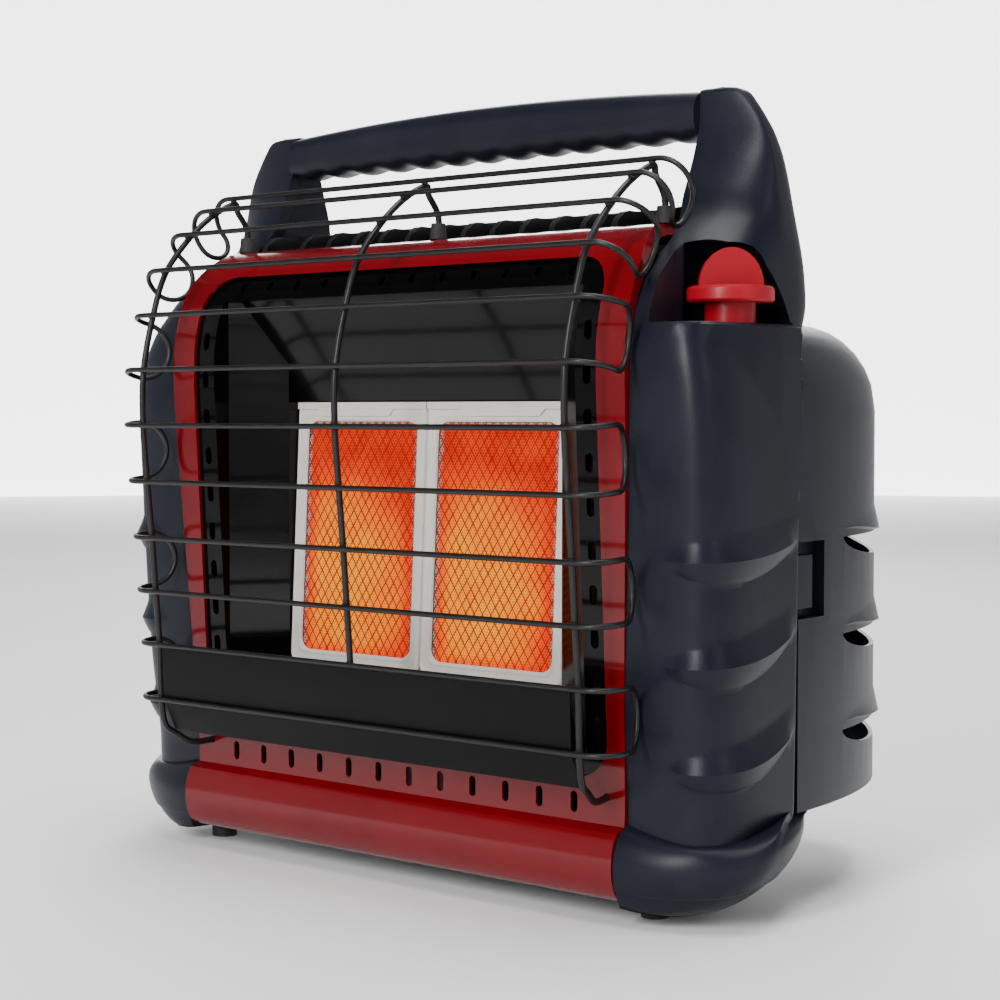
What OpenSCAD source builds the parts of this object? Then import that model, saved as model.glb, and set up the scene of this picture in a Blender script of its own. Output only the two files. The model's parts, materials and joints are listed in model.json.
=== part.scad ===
// Portable twin-cylinder radiant propane heater.
// Millimetres, +Z up, front faces -Y, right is +X.
// The origin is on the ground under the middle of the body.

/* [Case] */
// Width of the red front panel at its widest
panel_w = 334; // [326:1:342]
// How much narrower each side of the panel is at the bottom
panel_taper = 8; // [5:0.5:9]
// Height of the top of the front panel
panel_top_z = 356; // [352:0.5:360]
// How far the upper part of the panel stands ahead of the middle
panel_front = 108.5; // [106:0.5:110]
// How far the foot of the panel is set back from its upper part
panel_lean = 12; // [8:0.5:13]
// Height at which the panel starts to wrap backwards
wrap_z = 286; // [280:1:290]
// How far back the wrapped top reaches
wrap_reach = 50; // [47:0.5:53]
// Thickness of the painted sheet
sheet_t = 2; // [1.5:0.1:2.5]
// How far the rounded chin bulges ahead of the panel
chin_bulge = 12; // [8:0.5:13]
// Height of the crease above the chin
chin_top_z = 49; // [47:0.5:51]
// Ground clearance of the case
ground_gap = 10.5; // [9:0.5:12]
// Half width of the case
case_half = 157; // [155:0.5:158]
// Depth behind the middle of the wide part of the case
case_back = 21; // [19:0.5:23]
// Half width of the narrow rear housing between the cylinder bays
spine_half = 80; // [76:0.5:81]
// Depth behind the middle of the narrow rear housing
spine_back = 66; // [62:0.5:68]
// Height of the case walls
case_top_z = 340; // [337:0.5:343]

/* [Firebox] */
// Half width of the window in the red panel
window_half = 149; // [146:0.5:150]
// Bottom edge of the window
window_z0 = 72; // [71:0.5:75]
// Top edge of the window
window_z1 = 338.5; // [336:0.5:340]
// Half width of the mouth of the reflector
mouth_half = 134; // [131:0.5:135]
// Bottom edge of the mouth
mouth_z0 = 84; // [82:0.5:86]
// Top edge of the mouth
mouth_z1 = 324; // [321:0.5:326]
// Thickness of the enamelled reflector sheet
pan_t = 1.5; // [1.2:0.1:2]
// Height of the air slots in the front panel
slot_z = 58.5; // [57.5:0.5:60.5]
// Number of air slots in the front panel
slot_n = 12; // [8:1:12]
// Distance between the air slots
slot_pitch = 23; // [15:0.1:23.2]

/* [Burner] */
// Width of one ceramic tile
tile_w = 92; // [88:0.5:94]
// Height of one ceramic tile
tile_h = 140; // [132:1:142]
// Thickness of one ceramic tile
tile_t = 13; // [11:0.5:15]
// Gap between the two tiles
tile_gap = 10; // [8:0.5:12]
// Border of the metal frame around each tile
frame_border = 5; // [4:0.5:6]
// Backward tilt of the tiles in degrees
tile_tilt = 3.1; // [2:0.1:4]
// Height of the lower edge of the burner
burner_z = 112; // [110:0.5:114]
// How far the lower edge of the burner is ahead of the middle
burner_front = 76; // [74:0.5:78]
// Depth of the gas plenum behind the tiles
plenum_d = 34; // [28:1:36]

/* [Guard] */
// Diameter of the horizontal guard wires
wire_d = 3; // [2.6:0.1:3.4]
// Diameter of the upright guard wires
upright_d = 3.6; // [3:0.1:4]
// Half distance between the outer uprights
upright_x = 155.5; // [152:0.5:158]
// Half length of the straight part of each wire
wire_half = 160; // [158:0.5:162]
// Radius at which the loop ends bend back
loop_bend = 16; // [14:0.5:18]
// Length of the loop ends beyond their bend
loop_tail = 11; // [8:0.5:13]
// Thickness of the guard plate
guard_plate_t = 1.2; // [1:0.1:1.6]
// Clearance left by each spot weld
weld_gap = 0.1; // [0.05:0.05:0.2]

/* [Side panels] */
// How far the side panels bulge beyond the red panel
side_bulge = 47; // [44:0.5:49]
// Wall of the moulded side panels
side_wall = 3; // [2.5:0.1:3.5]
// Depth behind the middle of the seam with the cylinder door, negative is ahead
seam_y = -20.5; // [-23:0.5:-19]
// Height of the top of the horns
horn_top_z = 430; // [427:0.5:432]
// Half distance between the inner faces of the horns
horn_half = 152; // [150:0.5:153]
// Height of the ridges on the side scoops
scoop_rise = 5; // [3:0.25:6]
// Distance between the side scoops
scoop_pitch = 52.7; // [50:0.1:53.5]
// Height of the front tip of the top scoop
scoop_z = 186; // [184:0.5:188]

/* [Control] */
// Sideways place of the knob
knob_x = 190; // [189:0.5:191]
// How far the knob is ahead of the middle
knob_front = 49.5; // [48:0.5:51]
// Diameter of the knob's flange
knob_d = 45; // [42:0.5:46]
// Diameter of the knob's skirt
knob_skirt_d = 26; // [22:0.5:28]
// Height of the floor of the knob niche
niche_z = 303.5; // [302:0.5:305]
// Travel of the knob when it is pushed
knob_travel = 5; // [3:0.25:6]
// Diameter of the valve spindle
spindle_d = 10; // [8:0.5:11]
// Radial running clearance of shafts and pins
run_fit = 0.05; // [0.02:0.01:0.08]

/* [Handle] */
// How far the handle is ahead of the middle
handle_front = 14; // [12:0.5:16]
// Height of the crown of the handle
handle_top_z = 435; // [433:0.5:437]
// How much the handle arches
handle_arch = 6; // [3:0.5:7]
// Height of the section of the handle
grip_h = 32; // [28:0.5:33]
// Depth of the section of the handle
grip_d = 27; // [24:0.5:30]
// Diameter of the rod through the handle
rod_d = 8; // [6:0.5:10]
// Number of finger bumps under the handle
bump_n = 13; // [9:1:15]

/* [Cylinder bays] */
// Sideways place of the gas cylinder
bay_x = 135; // [133:0.5:137]
// Depth behind the middle of the gas cylinder
bay_y = 76; // [75:0.5:78]
// Diameter of the gas cylinder that fits
cylinder_d = 99; // [96:0.5:101]
// Depth behind the middle of the back of the doors
door_back = 148.5; // [146:0.5:151]
// Half width across the doors
door_half = 213; // [211:0.5:214]
// Height of the bottom of the doors
door_z0 = 51.5; // [51:0.5:53]
// Height of the top of the doors
door_z1 = 308; // [307:0.5:310]
// Wall of the moulded doors
door_wall = 2.5; // [2:0.1:3]
// Gap round the doors
door_gap = 0.8; // [0.6:0.1:1.2]
// Radius of the regulator's threaded socket
socket_r = 12.1; // [11.5:0.05:12.7]
// Depth of the regulator's threaded socket
socket_depth = 14; // [12:0.5:16]

/* [Fan and battery] */
// Radius of the fan blades
fan_r = 42; // [36:0.5:44]
// Height of the fan's shaft
fan_z = 205; // [200:1:215]
// Number of fan blades
blade_n = 7; // [5:1:9]
// Width of the battery box
battery_w = 128; // [124:1:132]
// Height of the battery box
battery_h = 72; // [70:0.5:75]
// Depth of the battery box
battery_d = 36; // [35:0.5:38]
// Height of the bottom of the battery box
battery_z = 28; // [26:0.5:30]

/* [Vent] */
// Number of ribs on the outlet deck
rib_n = 12; // [8:1:13]
// Distance between the ribs
rib_pitch = 21.2; // [16:0.1:21.4]
// Height of the ribs
rib_top_z = 366.5; // [364:0.5:369]

/* [Hidden] */
$fn = 48;
seat = 0.3;

black = [0.06, 0.06, 0.065];
charcoal = [0.12, 0.125, 0.16];
red = [0.62, 0.05, 0.07];
steel = [0.72, 0.71, 0.68];
brass = [0.78, 0.62, 0.3];

function lerp(a, b, t) = a + (b - a) * t;
function clamp01(t) = min(1, max(0, t));
function smooth(t) = let (u = clamp01(t)) u * u * (3 - 2 * u);
// value at z of a curve given as [z, value] knots, eased between them
function knots(list, z, i = 0) =
    z <= list[0][0] ? list[0][1] :
    i >= len(list) - 1 ? list[len(list) - 1][1] :
    z <= list[i + 1][0] ? lerp(list[i][1], list[i + 1][1],
        (z - list[i][0]) / (list[i + 1][0] - list[i][0])) :
    knots(list, z, i + 1);
function unit(v) = v / norm(v);

// faces of a grid of rows by cols points that closes round each row, capped at both ends
function grid_faces(rows, cols) = concat(
    [for (i = [0:rows - 2], j = [0:cols - 1]) let (k = (j + 1) % cols)
        each [[i * cols + j, (i + 1) * cols + k, i * cols + k],
              [i * cols + j, (i + 1) * cols + j, (i + 1) * cols + k]]],
    [[for (j = [0:cols - 1]) j]],
    [[for (j = [cols - 1:-1:0]) (rows - 1) * cols + j]]);

// frames carried along a path without twist: each entry is [point, normal, binormal]
function next_normal(n, t) = unit(n - t * (n * t));
function tangents(p) = [for (i = [0:len(p) - 1])
    unit(p[min(i + 1, len(p) - 1)] - p[max(i - 1, 0)])];
function carried(t, n, i = 0) = i >= len(t) ? [] :
    let (m = next_normal(n, t[i])) concat([m], carried(t, m, i + 1));
// round wire of radius r along the open path p
module wire(p, r, sides, first) {
    t = tangents(p);
    n = carried(t, first);
    pts = [for (i = [0:len(p) - 1], k = [0:sides - 1]) let (a = 360 * k / sides)
        p[i] + r * (cos(a) * n[i] + sin(a) * cross(t[i], n[i]))];
    polyhedron(pts, grid_faces(len(p), sides), convexity = 8);
}
// solid from an outline in depth and height, run across the heater between x0 and x1
module across(x0, x1) translate([x0, 0, 0]) rotate([90, 0, 90]) linear_extrude(x1 - x0) children();
// rectangle of w by h with true round corners, centred
module rounded(w, h, r) {
    square([w - 2 * r, h], center = true);
    square([w, h - 2 * r], center = true);
    for (i = [-1, 1], j = [-1, 1]) translate([i * (w / 2 - r), j * (h / 2 - r)]) circle(r);
}
module stadium(w, h) {
    square([w, h - w], center = true);
    for (j = [-1, 1]) translate([0, j * (h - w) / 2]) circle(w / 2);
}
// upper half of an ellipse, from -a to a and 0 to b
module half_ellipse(a, b, steps = 16) polygon([for (k = [0:steps]) [a * cos(180 * k / steps), b * sin(180 * k / steps)]]);
module both() { children(); mirror([1, 0, 0]) children(); }

// ---------- front panel profile, points as [depth, height] ----------
chin_z0 = ground_gap + 1;
chin_mid = (chin_top_z + chin_z0) / 2;
chin_half = (chin_top_z - chin_z0) / 2;
foot_front = panel_front - panel_lean;
wrap_h = panel_top_z - wrap_z;
panel_end_y = -panel_front + wrap_reach;
panel_rear_y = panel_end_y + 7;
// outer line of the panel moved inwards by d
function panel_line(d) = concat(
    [for (a = [170:-20:30]) [-foot_front - (chin_bulge - d) * pow(sin(a), 0.8) + d * (1 - sin(a)),
                            chin_mid + (chin_half - d) * cos(a)]],
    [[-foot_front + d - 0.5, chin_top_z], [-foot_front + d, chin_top_z + 9],
     [-panel_front + d, wrap_z - 12], [-panel_front + d, wrap_z]],
    [for (a = [7.5:7.5:90]) [panel_end_y - (wrap_reach - d) * cos(a), wrap_z + (wrap_h - d) * sin(a)]],
    [[panel_rear_y, panel_top_z - d]]);
function face_y(z) = -foot_front - panel_lean * clamp01((z - chin_top_z - 9) / (wrap_z - chin_top_z - 21));
function reversed(v) = [for (i = [len(v) - 1:-1:0]) v[i]];
// band between two depths under the panel's outer line
module panel_band(d0, d1) polygon(concat(panel_line(d0), reversed(panel_line(d1))));
// everything behind the panel's inner face
module behind_panel(d) polygon(concat(panel_line(d),
    [[panel_rear_y, panel_top_z - d], [400, panel_top_z - d], [400, -50], [-foot_front + d, -50]]));
// half width of the panel at each height
function panel_half_at(z) = panel_w / 2 - panel_taper * (1 - smooth((z - 60) / 230) * 0.45
    - clamp01((z - 60) / 205) * 0.55);

module front_cut(y0, y1) translate([0, y1, 0]) rotate([90, 0, 0]) linear_extrude(y1 - y0) children();

slot_w = 4.5;
slot_h = 11;
hook_z = 63;
hook_x = upright_x - 8;
edge_return = 4;
side_zs = concat([0, chin_z0, 60], [for (k = [1:10]) 60 + 26 * k], [330, 336, 342, 348, 354, 360]);
function panel_edge(z) = z < 330 ? panel_half_at(z) : inner_x(z) - 0.4;
module panel_front_view(d) polygon(concat([for (z = side_zs) [panel_edge(z) - d, z]],
    [for (z = reversed(side_zs)) [-panel_edge(z) + d, z]]));
module front_panel() color(red) difference() {
    intersection() {
        across(-panel_w / 2, panel_w / 2) panel_band(0, sheet_t + edge_return);
        front_cut(-200, 0) panel_front_view(0);
    }
    // behind the sheet only the turned edges are left
    intersection() {
        across(-panel_w / 2, panel_w / 2) behind_panel(sheet_t);
        front_cut(-200, 0) panel_front_view(sheet_t);
    }
    front_cut(-140, -40) translate([0, (window_z0 + window_z1) / 2])
        rounded(2 * window_half, window_z1 - window_z0, 20);
    for (i = [0:slot_n - 1]) front_cut(-140, -80)
        translate([(i - (slot_n - 1) / 2) * slot_pitch, slot_z]) stadium(slot_w, slot_h);
    for (s = [-1, 1]) front_cut(-140, -80)
        translate([s * hook_x, hook_z]) circle(upright_d / 2 + seat);
    for (s = [-1, 0, 1]) translate([s * upright_x, panel_end_y, panel_top_z - 10])
        cylinder(r = upright_d / 2 + seat, h = 20);
}

// ---------- case ----------
module plan_outline(d) polygon([[case_half - d, -150], [case_half - d, case_back - d],
    [spine_half - d, case_back - d], [spine_half - d, spine_back - d], [-spine_half + d, spine_back - d],
    [-spine_half + d, case_back - d], [-case_half + d, case_back - d], [-case_half + d, -150]]);
shell_z0 = ground_gap + sheet_t;
battery_open_z = battery_z + battery_h / 2;
switch_x = -46;
switch_z = 128;
module case_shell() color(black) difference() {
    intersection() {
        translate([0, 0, shell_z0]) linear_extrude(case_top_z - shell_z0) difference() {
            plan_outline(0);
            plan_outline(sheet_t);
        }
        across(-case_half - 1, case_half + 1) behind_panel(sheet_t + seat);
    }
    front_cut(spine_back - 10, spine_back + 10) translate([0, fan_z]) circle(fan_r + 3);
    front_cut(spine_back - 10, spine_back + 10) translate([0, battery_open_z])
        rounded(battery_w - 2, battery_h - 2, 3);
    front_cut(spine_back - 10, spine_back + 10) translate([switch_x, switch_z])
        square([switch_w, switch_h], center = true);
    // gas inlets from the swivel posts
    for (s = [-1, 1]) translate([s * post_x, case_back - 10, inlet_z]) rotate([-90, 0, 0])
        cylinder(r = inlet_r + seat, h = 20);
    // cooling slots in the sides of the rear housing
    for (i = [0:4]) translate([-100, spine_back - 26, 262 + 12 * i]) cube([200, 14, 5]);
    // slots for the valve outlet and the valve foot on the right wall
    translate([case_half - 10, -knob_front, valve_pipe_z]) rotate([0, 90, 0])
        cylinder(r = pipe_r + seat, h = 20);
}
module base_pan() color(black) difference() {
    translate([0, 0, ground_gap]) linear_extrude(sheet_t) intersection() {
        plan_outline(0);
        translate([-250, -foot_front + sheet_t + seat]) square([500, 400]);
    }
    for (i = [-5:5], j = [0:2]) translate([i * 22, -60 + 26 * j, 0]) linear_extrude(20) stadium(6, 16);
}
module top_cover() color(black) difference() {
    translate([0, 0, case_top_z]) linear_extrude(2.5) intersection() {
        plan_outline(0);
        translate([-250, deck_bar_y0]) square([500, 400]);
    }
    for (i = [-4:4]) translate([i * 16, spine_back - 26, 300]) linear_extrude(60) stadium(5, 30);
}

// ---------- outlet deck ----------
deck_y0 = panel_rear_y + 0.5;
deck_bar_y0 = deck_y0 + 35;
deck_bar_t = 7;
deck_z0 = panel_top_z - 10;
deck_half = horn_half - 0.5;
module vent_deck() color(black) {
    // front rail under the rear edge of the red panel, and rear bar
    across(-deck_half, deck_half) translate([deck_y0 + 0.5, deck_z0]) square([3, 6]);
    across(-deck_half, deck_half) polygon([[deck_bar_y0, case_top_z + 2.5],
        [deck_bar_y0 + deck_bar_t, case_top_z + 2.5], [deck_bar_y0 + deck_bar_t, rib_top_z],
        [deck_bar_y0 + deck_bar_t - 2, rib_top_z + 2], [deck_bar_y0 + 1, rib_top_z + 2],
        [deck_bar_y0, rib_top_z + 1]]);
    for (i = [0:rib_n - 1]) vent_rib((i - (rib_n - 1) / 2) * rib_pitch, 3.6);
    for (s = [-1, 1]) vent_rib(s * (deck_half - 2), 4);
}
module vent_rib(x, w) across(x - w / 2, x + w / 2) difference() {
    polygon([[deck_y0 + 1, deck_z0], [deck_y0, deck_z0 + 10], [deck_y0 + 2.5, deck_z0 + 15],
        [deck_y0 + 6, rib_top_z - 3], [deck_y0 + 8.5, rib_top_z - 0.8], [deck_y0 + 12, rib_top_z],
        [deck_bar_y0 + 1, rib_top_z], [deck_bar_y0 + 1, deck_z0], [deck_y0 + 12, deck_z0]]);
}

// ---------- reflector pan ----------
pan_d = sheet_t + seat;
burner_half = tile_gap / 2 + tile_w + frame_border;
burner_top = tile_h + 2 * frame_border + 3;
mouth_top_y = panel_end_y - wrap_reach * sqrt(1 - pow((mouth_z1 - wrap_z) / wrap_h, 2));
module pan_side(d) polygon([[-125, mouth_z0 - d], [face_y(mouth_z0) + pan_d + 3, mouth_z0 - d],
    [-burner_front, burner_z - 0.5 - d], [-burner_front + 12, burner_z - 0.9 - d],
    [-burner_front + 20, burner_z + burner_top + d], [-burner_front + 8.6, burner_z + burner_top + d],
    [mouth_top_y + 10, mouth_z1 + d], [-125, mouth_z1 + d]]);
module pan_plan(d) polygon([[-mouth_half - d, -125], [mouth_half + d, -125],
    [mouth_half + d, -foot_front + 2], [burner_half + seat + d, -burner_front],
    [burner_half + seat + d, -burner_front + 20], [-burner_half - seat - d, -burner_front + 20],
    [-burner_half - seat - d, -burner_front], [-mouth_half - d, -foot_front + 2]]);
module pan_form(d) intersection() {
    across(-mouth_half - 20, mouth_half + 20) pan_side(d);
    translate([0, 0, 40]) linear_extrude(320) pan_plan(d);
}
hole_w = 5;
hole_h = 10;
module reflector_pan() color(black) difference() {
    union() {
        difference() {
            across(-window_half - 5, window_half + 5) panel_band(pan_d, pan_d + pan_t);
            translate([-200, -130, -10]) cube([400, 200, window_z0 - 5 + 10]);
            translate([-200, -130, window_z1 + 6]) cube([400, 200, 60]);
        }
        intersection() {
            pan_form(pan_t);
            across(-200, 200) behind_panel(pan_d + 0.1);
        }
    }
    pan_form(0);
    // window for the pilot in the sloping floor
    translate([-24, -91.5, pilot_z - 18]) cube([48, 36, 34]);
    // open back for the burner
    translate([0, -burner_front + 2, burner_z]) rotate([-tile_tilt, 0, 0])
        translate([-burner_half - 0.5, 0, -0.5]) cube([2 * burner_half + 1, 40, burner_top + 1]);
    for (s = [-1, 1], i = [0:9]) front_cut(-130, -70)
        translate([s * (mouth_half + window_half) / 2, 99 + 22.4 * i]) stadium(hole_w, hole_h);
    for (i = [0:11]) translate([(i - 5.5) * 22.2, mouth_top_y + 10, (mouth_z1 + window_z1) / 2 - 1])
        rotate([62, 0, 0]) translate([0, 0, -10]) linear_extrude(40) stadium(4, 7);
}

// ---------- burner, built upright at its own front face and then tilted ----------
module at_burner() translate([0, -burner_front, burner_z]) rotate([-tile_tilt, 0, 0]) children();
screen_t = 0.8;
frame_t = 1.2;
tile_y = 2.4;
tile_x0 = tile_gap / 2;
module burner_frames() color(steel) at_burner() both() {
    difference() {
        translate([burner_half / 2 + 0.15, frame_t + 0.2, burner_top / 2]) rotate([90, 0, 0]) linear_extrude(frame_t)
            rounded(burner_half - 0.3, burner_top, 5);
        translate([tile_x0 + tile_w / 2, 10, frame_border + tile_h / 2]) rotate([90, 0, 0])
            linear_extrude(30) rounded(tile_w - 6, tile_h - 6, 7);
    }
    // stepped trim along the upper edge
    translate([0, frame_t + 0.2, 0]) rotate([90, 0, 0]) linear_extrude(2.4)
        polygon([[0.3, burner_top - 4], [burner_half, burner_top - 4], [burner_half, burner_top],
            [0.3, burner_top]]);
    translate([0, frame_t + 0.2, 0]) rotate([90, 0, 0]) linear_extrude(2) polygon([
        [burner_half / 2 - 26, burner_top - 4], [burner_half / 2 - 22, burner_top - 8],
        [burner_half / 2 + 30, burner_top - 8], [burner_half / 2 + 34, burner_top - 4]]);
}
module tile() at_burner() translate([tile_x0, tile_y, frame_border]) cube([tile_w, tile_t, tile_h]);
module tile_right() color([0.95, 0.45, 0.12]) tile();
module tile_left() color([0.95, 0.45, 0.12]) mirror([1, 0, 0]) tile();
module tile_screens() color([0.9, 0.35, 0.1]) at_burner() both()
    translate([tile_x0, frame_t + 0.3, frame_border]) cube([tile_w, screen_t, tile_h]);
plenum_y = tile_y + tile_t + 0.1;
mixer_x = 50;
elbow_r = 24;
mixer_z = 92;
mixer_bore = 9;
module burner_plenum() color(steel) at_burner() difference() {
    union() {
        translate([-burner_half, plenum_y, 0]) cube([2 * burner_half, plenum_d, burner_top]);
        // rim that wraps the tiles
        difference() {
            translate([-burner_half, frame_t + 0.3, 0]) cube([2 * burner_half, plenum_y, burner_top]);
            both() translate([tile_x0 - 0.3, -1, frame_border - 0.3])
                cube([tile_w + 0.6, plenum_y + 2, tile_h + 0.6]);
        }
    }
    both() translate([tile_x0 + 2, plenum_y - 2, frame_border + 2])
        cube([tile_w - 4, plenum_d, tile_h - 4]);
    both() translate([mixer_x, plenum_y + plenum_d - 10, mixer_z]) rotate([-90, 0, 0])
        cylinder(r = mixer_bore, h = 20);
}
// each mixing tube rises behind the plenum and enters it through a short side branch
mixer_back = plenum_y + plenum_d;
mixer_foot = mixer_z - elbow_r - 76;
module mixer_tubes() color(steel) both() at_burner() difference() {
    union() {
        translate([mixer_x, mixer_back + elbow_r, mixer_foot]) rotate_extrude() polygon([[0, 0], [mixer_bore + 5.5, 0],
            [mixer_bore + 1.5, 16], [mixer_bore + 1.5, elbow_r + 86], [mixer_bore - 0.5, elbow_r + 90],
            [0, elbow_r + 90]]);
        translate([mixer_x, mixer_back, mixer_z]) rotate([-90, 0, 0]) cylinder(r = mixer_bore + 2.5, h = elbow_r);
    }
    translate([mixer_x, mixer_back + elbow_r, mixer_foot - 1]) rotate_extrude() polygon([[0, 0],
        [mixer_bore + 4, 0], [mixer_bore + 4, 1], [mixer_bore, 17], [mixer_bore, elbow_r + 88], [0, elbow_r + 88]]);
    translate([mixer_x, mixer_back - 1, mixer_z]) rotate([-90, 0, 0]) cylinder(r = mixer_bore - 1, h = elbow_r);
}
orifice_z = 82;
manifold_z = 60;
manifold_y = -burner_front + mixer_back + elbow_r - 0.8;
module orifices() color(brass) both() translate([mixer_x, manifold_y, 0]) difference() {
    union() {
        translate([0, 0, manifold_z + pipe_r + 0.1]) cylinder(r = 7, h = orifice_z - manifold_z - pipe_r, $fn = 6);
        translate([0, 0, orifice_z]) cylinder(r1 = 4, r2 = 2, h = 8);
    }
    translate([0, 0, manifold_z]) cylinder(r = 0.6, h = 60);
}
pipe_r = 4;
valve_pipe_z = 232;
valve_half = 13;
valve_z0 = 222;
valve_h = 40;
boss_z1 = niche_z - 14;
// gas pipe from the valve down to the bar that feeds both orifices
module gas_manifold() color(brass) {
    translate([-mixer_x - 12, manifold_y, manifold_z]) rotate([0, 90, 0]) cylinder(r = pipe_r, h = feed_x + mixer_x + 12);
    translate([feed_x, manifold_y, manifold_z]) sphere(pipe_r);
    translate([feed_x, manifold_y, manifold_z]) cylinder(r = pipe_r, h = valve_pipe_z - manifold_z);
    translate([feed_x, manifold_y, valve_pipe_z]) sphere(pipe_r);
    translate([feed_x, -knob_front, valve_pipe_z]) rotate([-90, 0, 0]) cylinder(r = pipe_r, h = manifold_y + knob_front);
    translate([feed_x, -knob_front, valve_pipe_z]) sphere(pipe_r);
    translate([feed_x, -knob_front, valve_pipe_z]) rotate([0, 90, 0])
        cylinder(r = pipe_r, h = knob_x - valve_half - feed_x - 0.1);
}
feed_x = 140;
module heat_shield() color(steel) difference() {
    translate([-case_half + sheet_t + seat, case_back - 7, 40])
        cube([2 * (case_half - sheet_t - seat), 1.2, 285]);
    for (s = [-1, 1]) translate([s * post_x, case_back - 20, inlet_z]) rotate([-90, 0, 0])
        cylinder(r = inlet_r + 3, h = 30);
}

// ---------- pilot ----------
pilot_z = burner_z - 22;
pilot_y = -burner_front - 8;
module pilot_bracket() color(steel) difference() {
    union() {
        translate([-22, pilot_y - 8, pilot_z]) cube([44, 30, 1.5]);
        translate([-22, pilot_y + 20.5, shell_z0]) cube([44, 1.5, pilot_z + 1.5 - shell_z0]);
    }
    for (x = [-13, 0, 13]) translate([x, pilot_y, pilot_z - 5]) cylinder(r = 3.2, h = 12);
}
module pilot_burner() color(brass) translate([0, pilot_y, 0]) {
    translate([0, 0, pilot_z + 1.6]) cylinder(r = 5, h = 6);
    translate([0, 0, pilot_z - 16]) cylinder(r = 3, h = 20);
    translate([0, 0, pilot_z + 7]) difference() {
        cylinder(r = 5, h = 7);
        translate([-6, 0, 1]) cube([12, 12, 5]);
    }
}
module spark_electrode() translate([-13, pilot_y, 0]) {
    color([0.92, 0.9, 0.85]) translate([0, 0, pilot_z - 12]) cylinder(r = 3, h = 22);
    color(steel) translate([0, 0, pilot_z + 9.9]) cylinder(r = 0.9, h = 7);
}
module thermocouple() color(brass) translate([13, pilot_y, 0]) {
    translate([0, 0, pilot_z - 14]) cylinder(r = 3, h = 20);
    translate([0, 0, pilot_z + 5.9]) cylinder(r1 = 3, r2 = 2, h = 9);
}

// ---------- guard: wires as [depth ahead of the middle, height] pairs, top to bottom ----------
wires = [[70.5, 388.1], [88.7, 379.4], [108.2, 364], [127.2, 342], [137.4, 315.4], [144.9, 283.6],
    [145.6, 251.4], [142.7, 218.6], [139.4, 185.6], [136.8, 154.1], [134.1, 122.7], [133, 90.4]];
function wire_at(i) = [0, -wires[i][0], wires[i][1]];
// point of a loop: s runs along the wire, t is 0 on the upper and 1 on the lower wire.
// Beyond the straight part the loop bends back along the guard's own normal.
function loop_point(i, s, t) = let (a = wire_at(2 * i), b = wire_at(2 * i + 1), e = unit(b - a),
    inward = [0, -e[2], e[1]], over = max(0, abs(s) - wire_half),
    full = 115, arc = min(full, over / loop_bend * 180 / PI),
    tail = max(0, over - loop_bend * full * PI / 180),
    x = min(abs(s), wire_half) + loop_bend * sin(arc) + tail * cos(full),
    depth = loop_bend * (1 - cos(arc)) + tail * sin(full))
    lerp(a, b, t) + [sign(s) * x, 0, 0] + depth * inward;
loop_reach = wire_half + loop_bend * 115 * PI / 180 + loop_tail;
function loop_path(i) = let (h = norm(wire_at(2 * i) - wire_at(2 * i + 1)) / 2,
    s1 = loop_reach - h, s0 = wire_half - 2,
    half = concat([[0, 0], [s0, 0]], [for (k = [1:5]) [lerp(s0, s1, k / 5), 0]],
        [for (a = [22.5:22.5:157.5]) [s1 + h * sin(a), (1 - cos(a)) / 2]],
        [for (k = [5:-1:1]) [lerp(s0, s1, k / 5), 1]], [[s0, 1], [0, 1]]))
    concat([for (p = half) loop_point(i, p[0], p[1])],
        [for (p = reversed(half)) if (p[0] > 0) loop_point(i, -p[0], p[1])]);
// closed wire: the last ring joins the first in the middle of the upper wire
module closed_wire(p, r, sides, first) {
    n0 = len(p);
    t = [for (i = [0:n0 - 1]) unit(p[(i + 1) % n0] - p[(i + n0 - 1) % n0])];
    n = carried(t, first);
    pts = [for (i = [0:n0 - 1], k = [0:sides - 1]) let (a = 360 * k / sides)
        p[i] + r * (cos(a) * n[i] + sin(a) * cross(t[i], n[i]))];
    faces = [for (i = [0:n0 - 1], j = [0:sides - 1]) let (k = (j + 1) % sides, m = (i + 1) % n0)
        each [[i * sides + j, m * sides + k, i * sides + k], [i * sides + j, m * sides + j, m * sides + k]]];
    polyhedron(pts, faces, convexity = 8);
}
module guard_loops() color(black) for (i = [0:5])
    closed_wire(loop_path(i), wire_d / 2, 6, [0, 1, 0.1]);

upright_r = upright_d / 2;
upright_in = (wire_d + upright_d) / 2 + weld_gap;
function wire_normal(i) = let (a = wire_at(max(i - 1, 0)), b = wire_at(min(i + 1, 11)), e = unit(b - a))
    [0, -e[2], e[1]];
function inside_wire(i, d) = wire_at(i) + d * wire_normal(i);
boot_h = 9;
function upright_line(x, last) = [for (p = concat(
    [[0, panel_end_y, panel_top_z - 4], [0, panel_end_y, panel_top_z + boot_h + 4],
     inside_wire(0, upright_in) + [0, 2.5, -5]],
    [for (i = [0:last]) inside_wire(i, upright_in)])) p + [x, 0, 0]];
module guard_uprights() color(black) {
    for (s = [-1, 1]) wire(concat(upright_line(s * upright_x, 11), [for (p = [
        [0.5, -127, 75], [2, -120, 69], [5, -110, hook_z], [8, -foot_front + 1, hook_z]]) [s * (upright_x - p[0]), p[1], p[2]]]),
        upright_r, 6, [1, 0, 0]);
    wire(upright_line(0, 9), upright_r, 6, [1, 0, 0]);
    wire([inside_wire(9, upright_in) + [0, 0, 0.4], inside_wire(10, upright_in) + [0, 0, 2.5]],
        upright_r, 6, [1, 0, 0]);
}
plate_in = wire_d / 2 + weld_gap;
plate_half = upright_x - upright_r - 2.2;
function plate_points(d) = [for (p = [inside_wire(10, d) - [0, 0, 1.5], inside_wire(11, d),
    [0, -124 + d, 71.5]]) [p[1], p[2]]];
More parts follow.
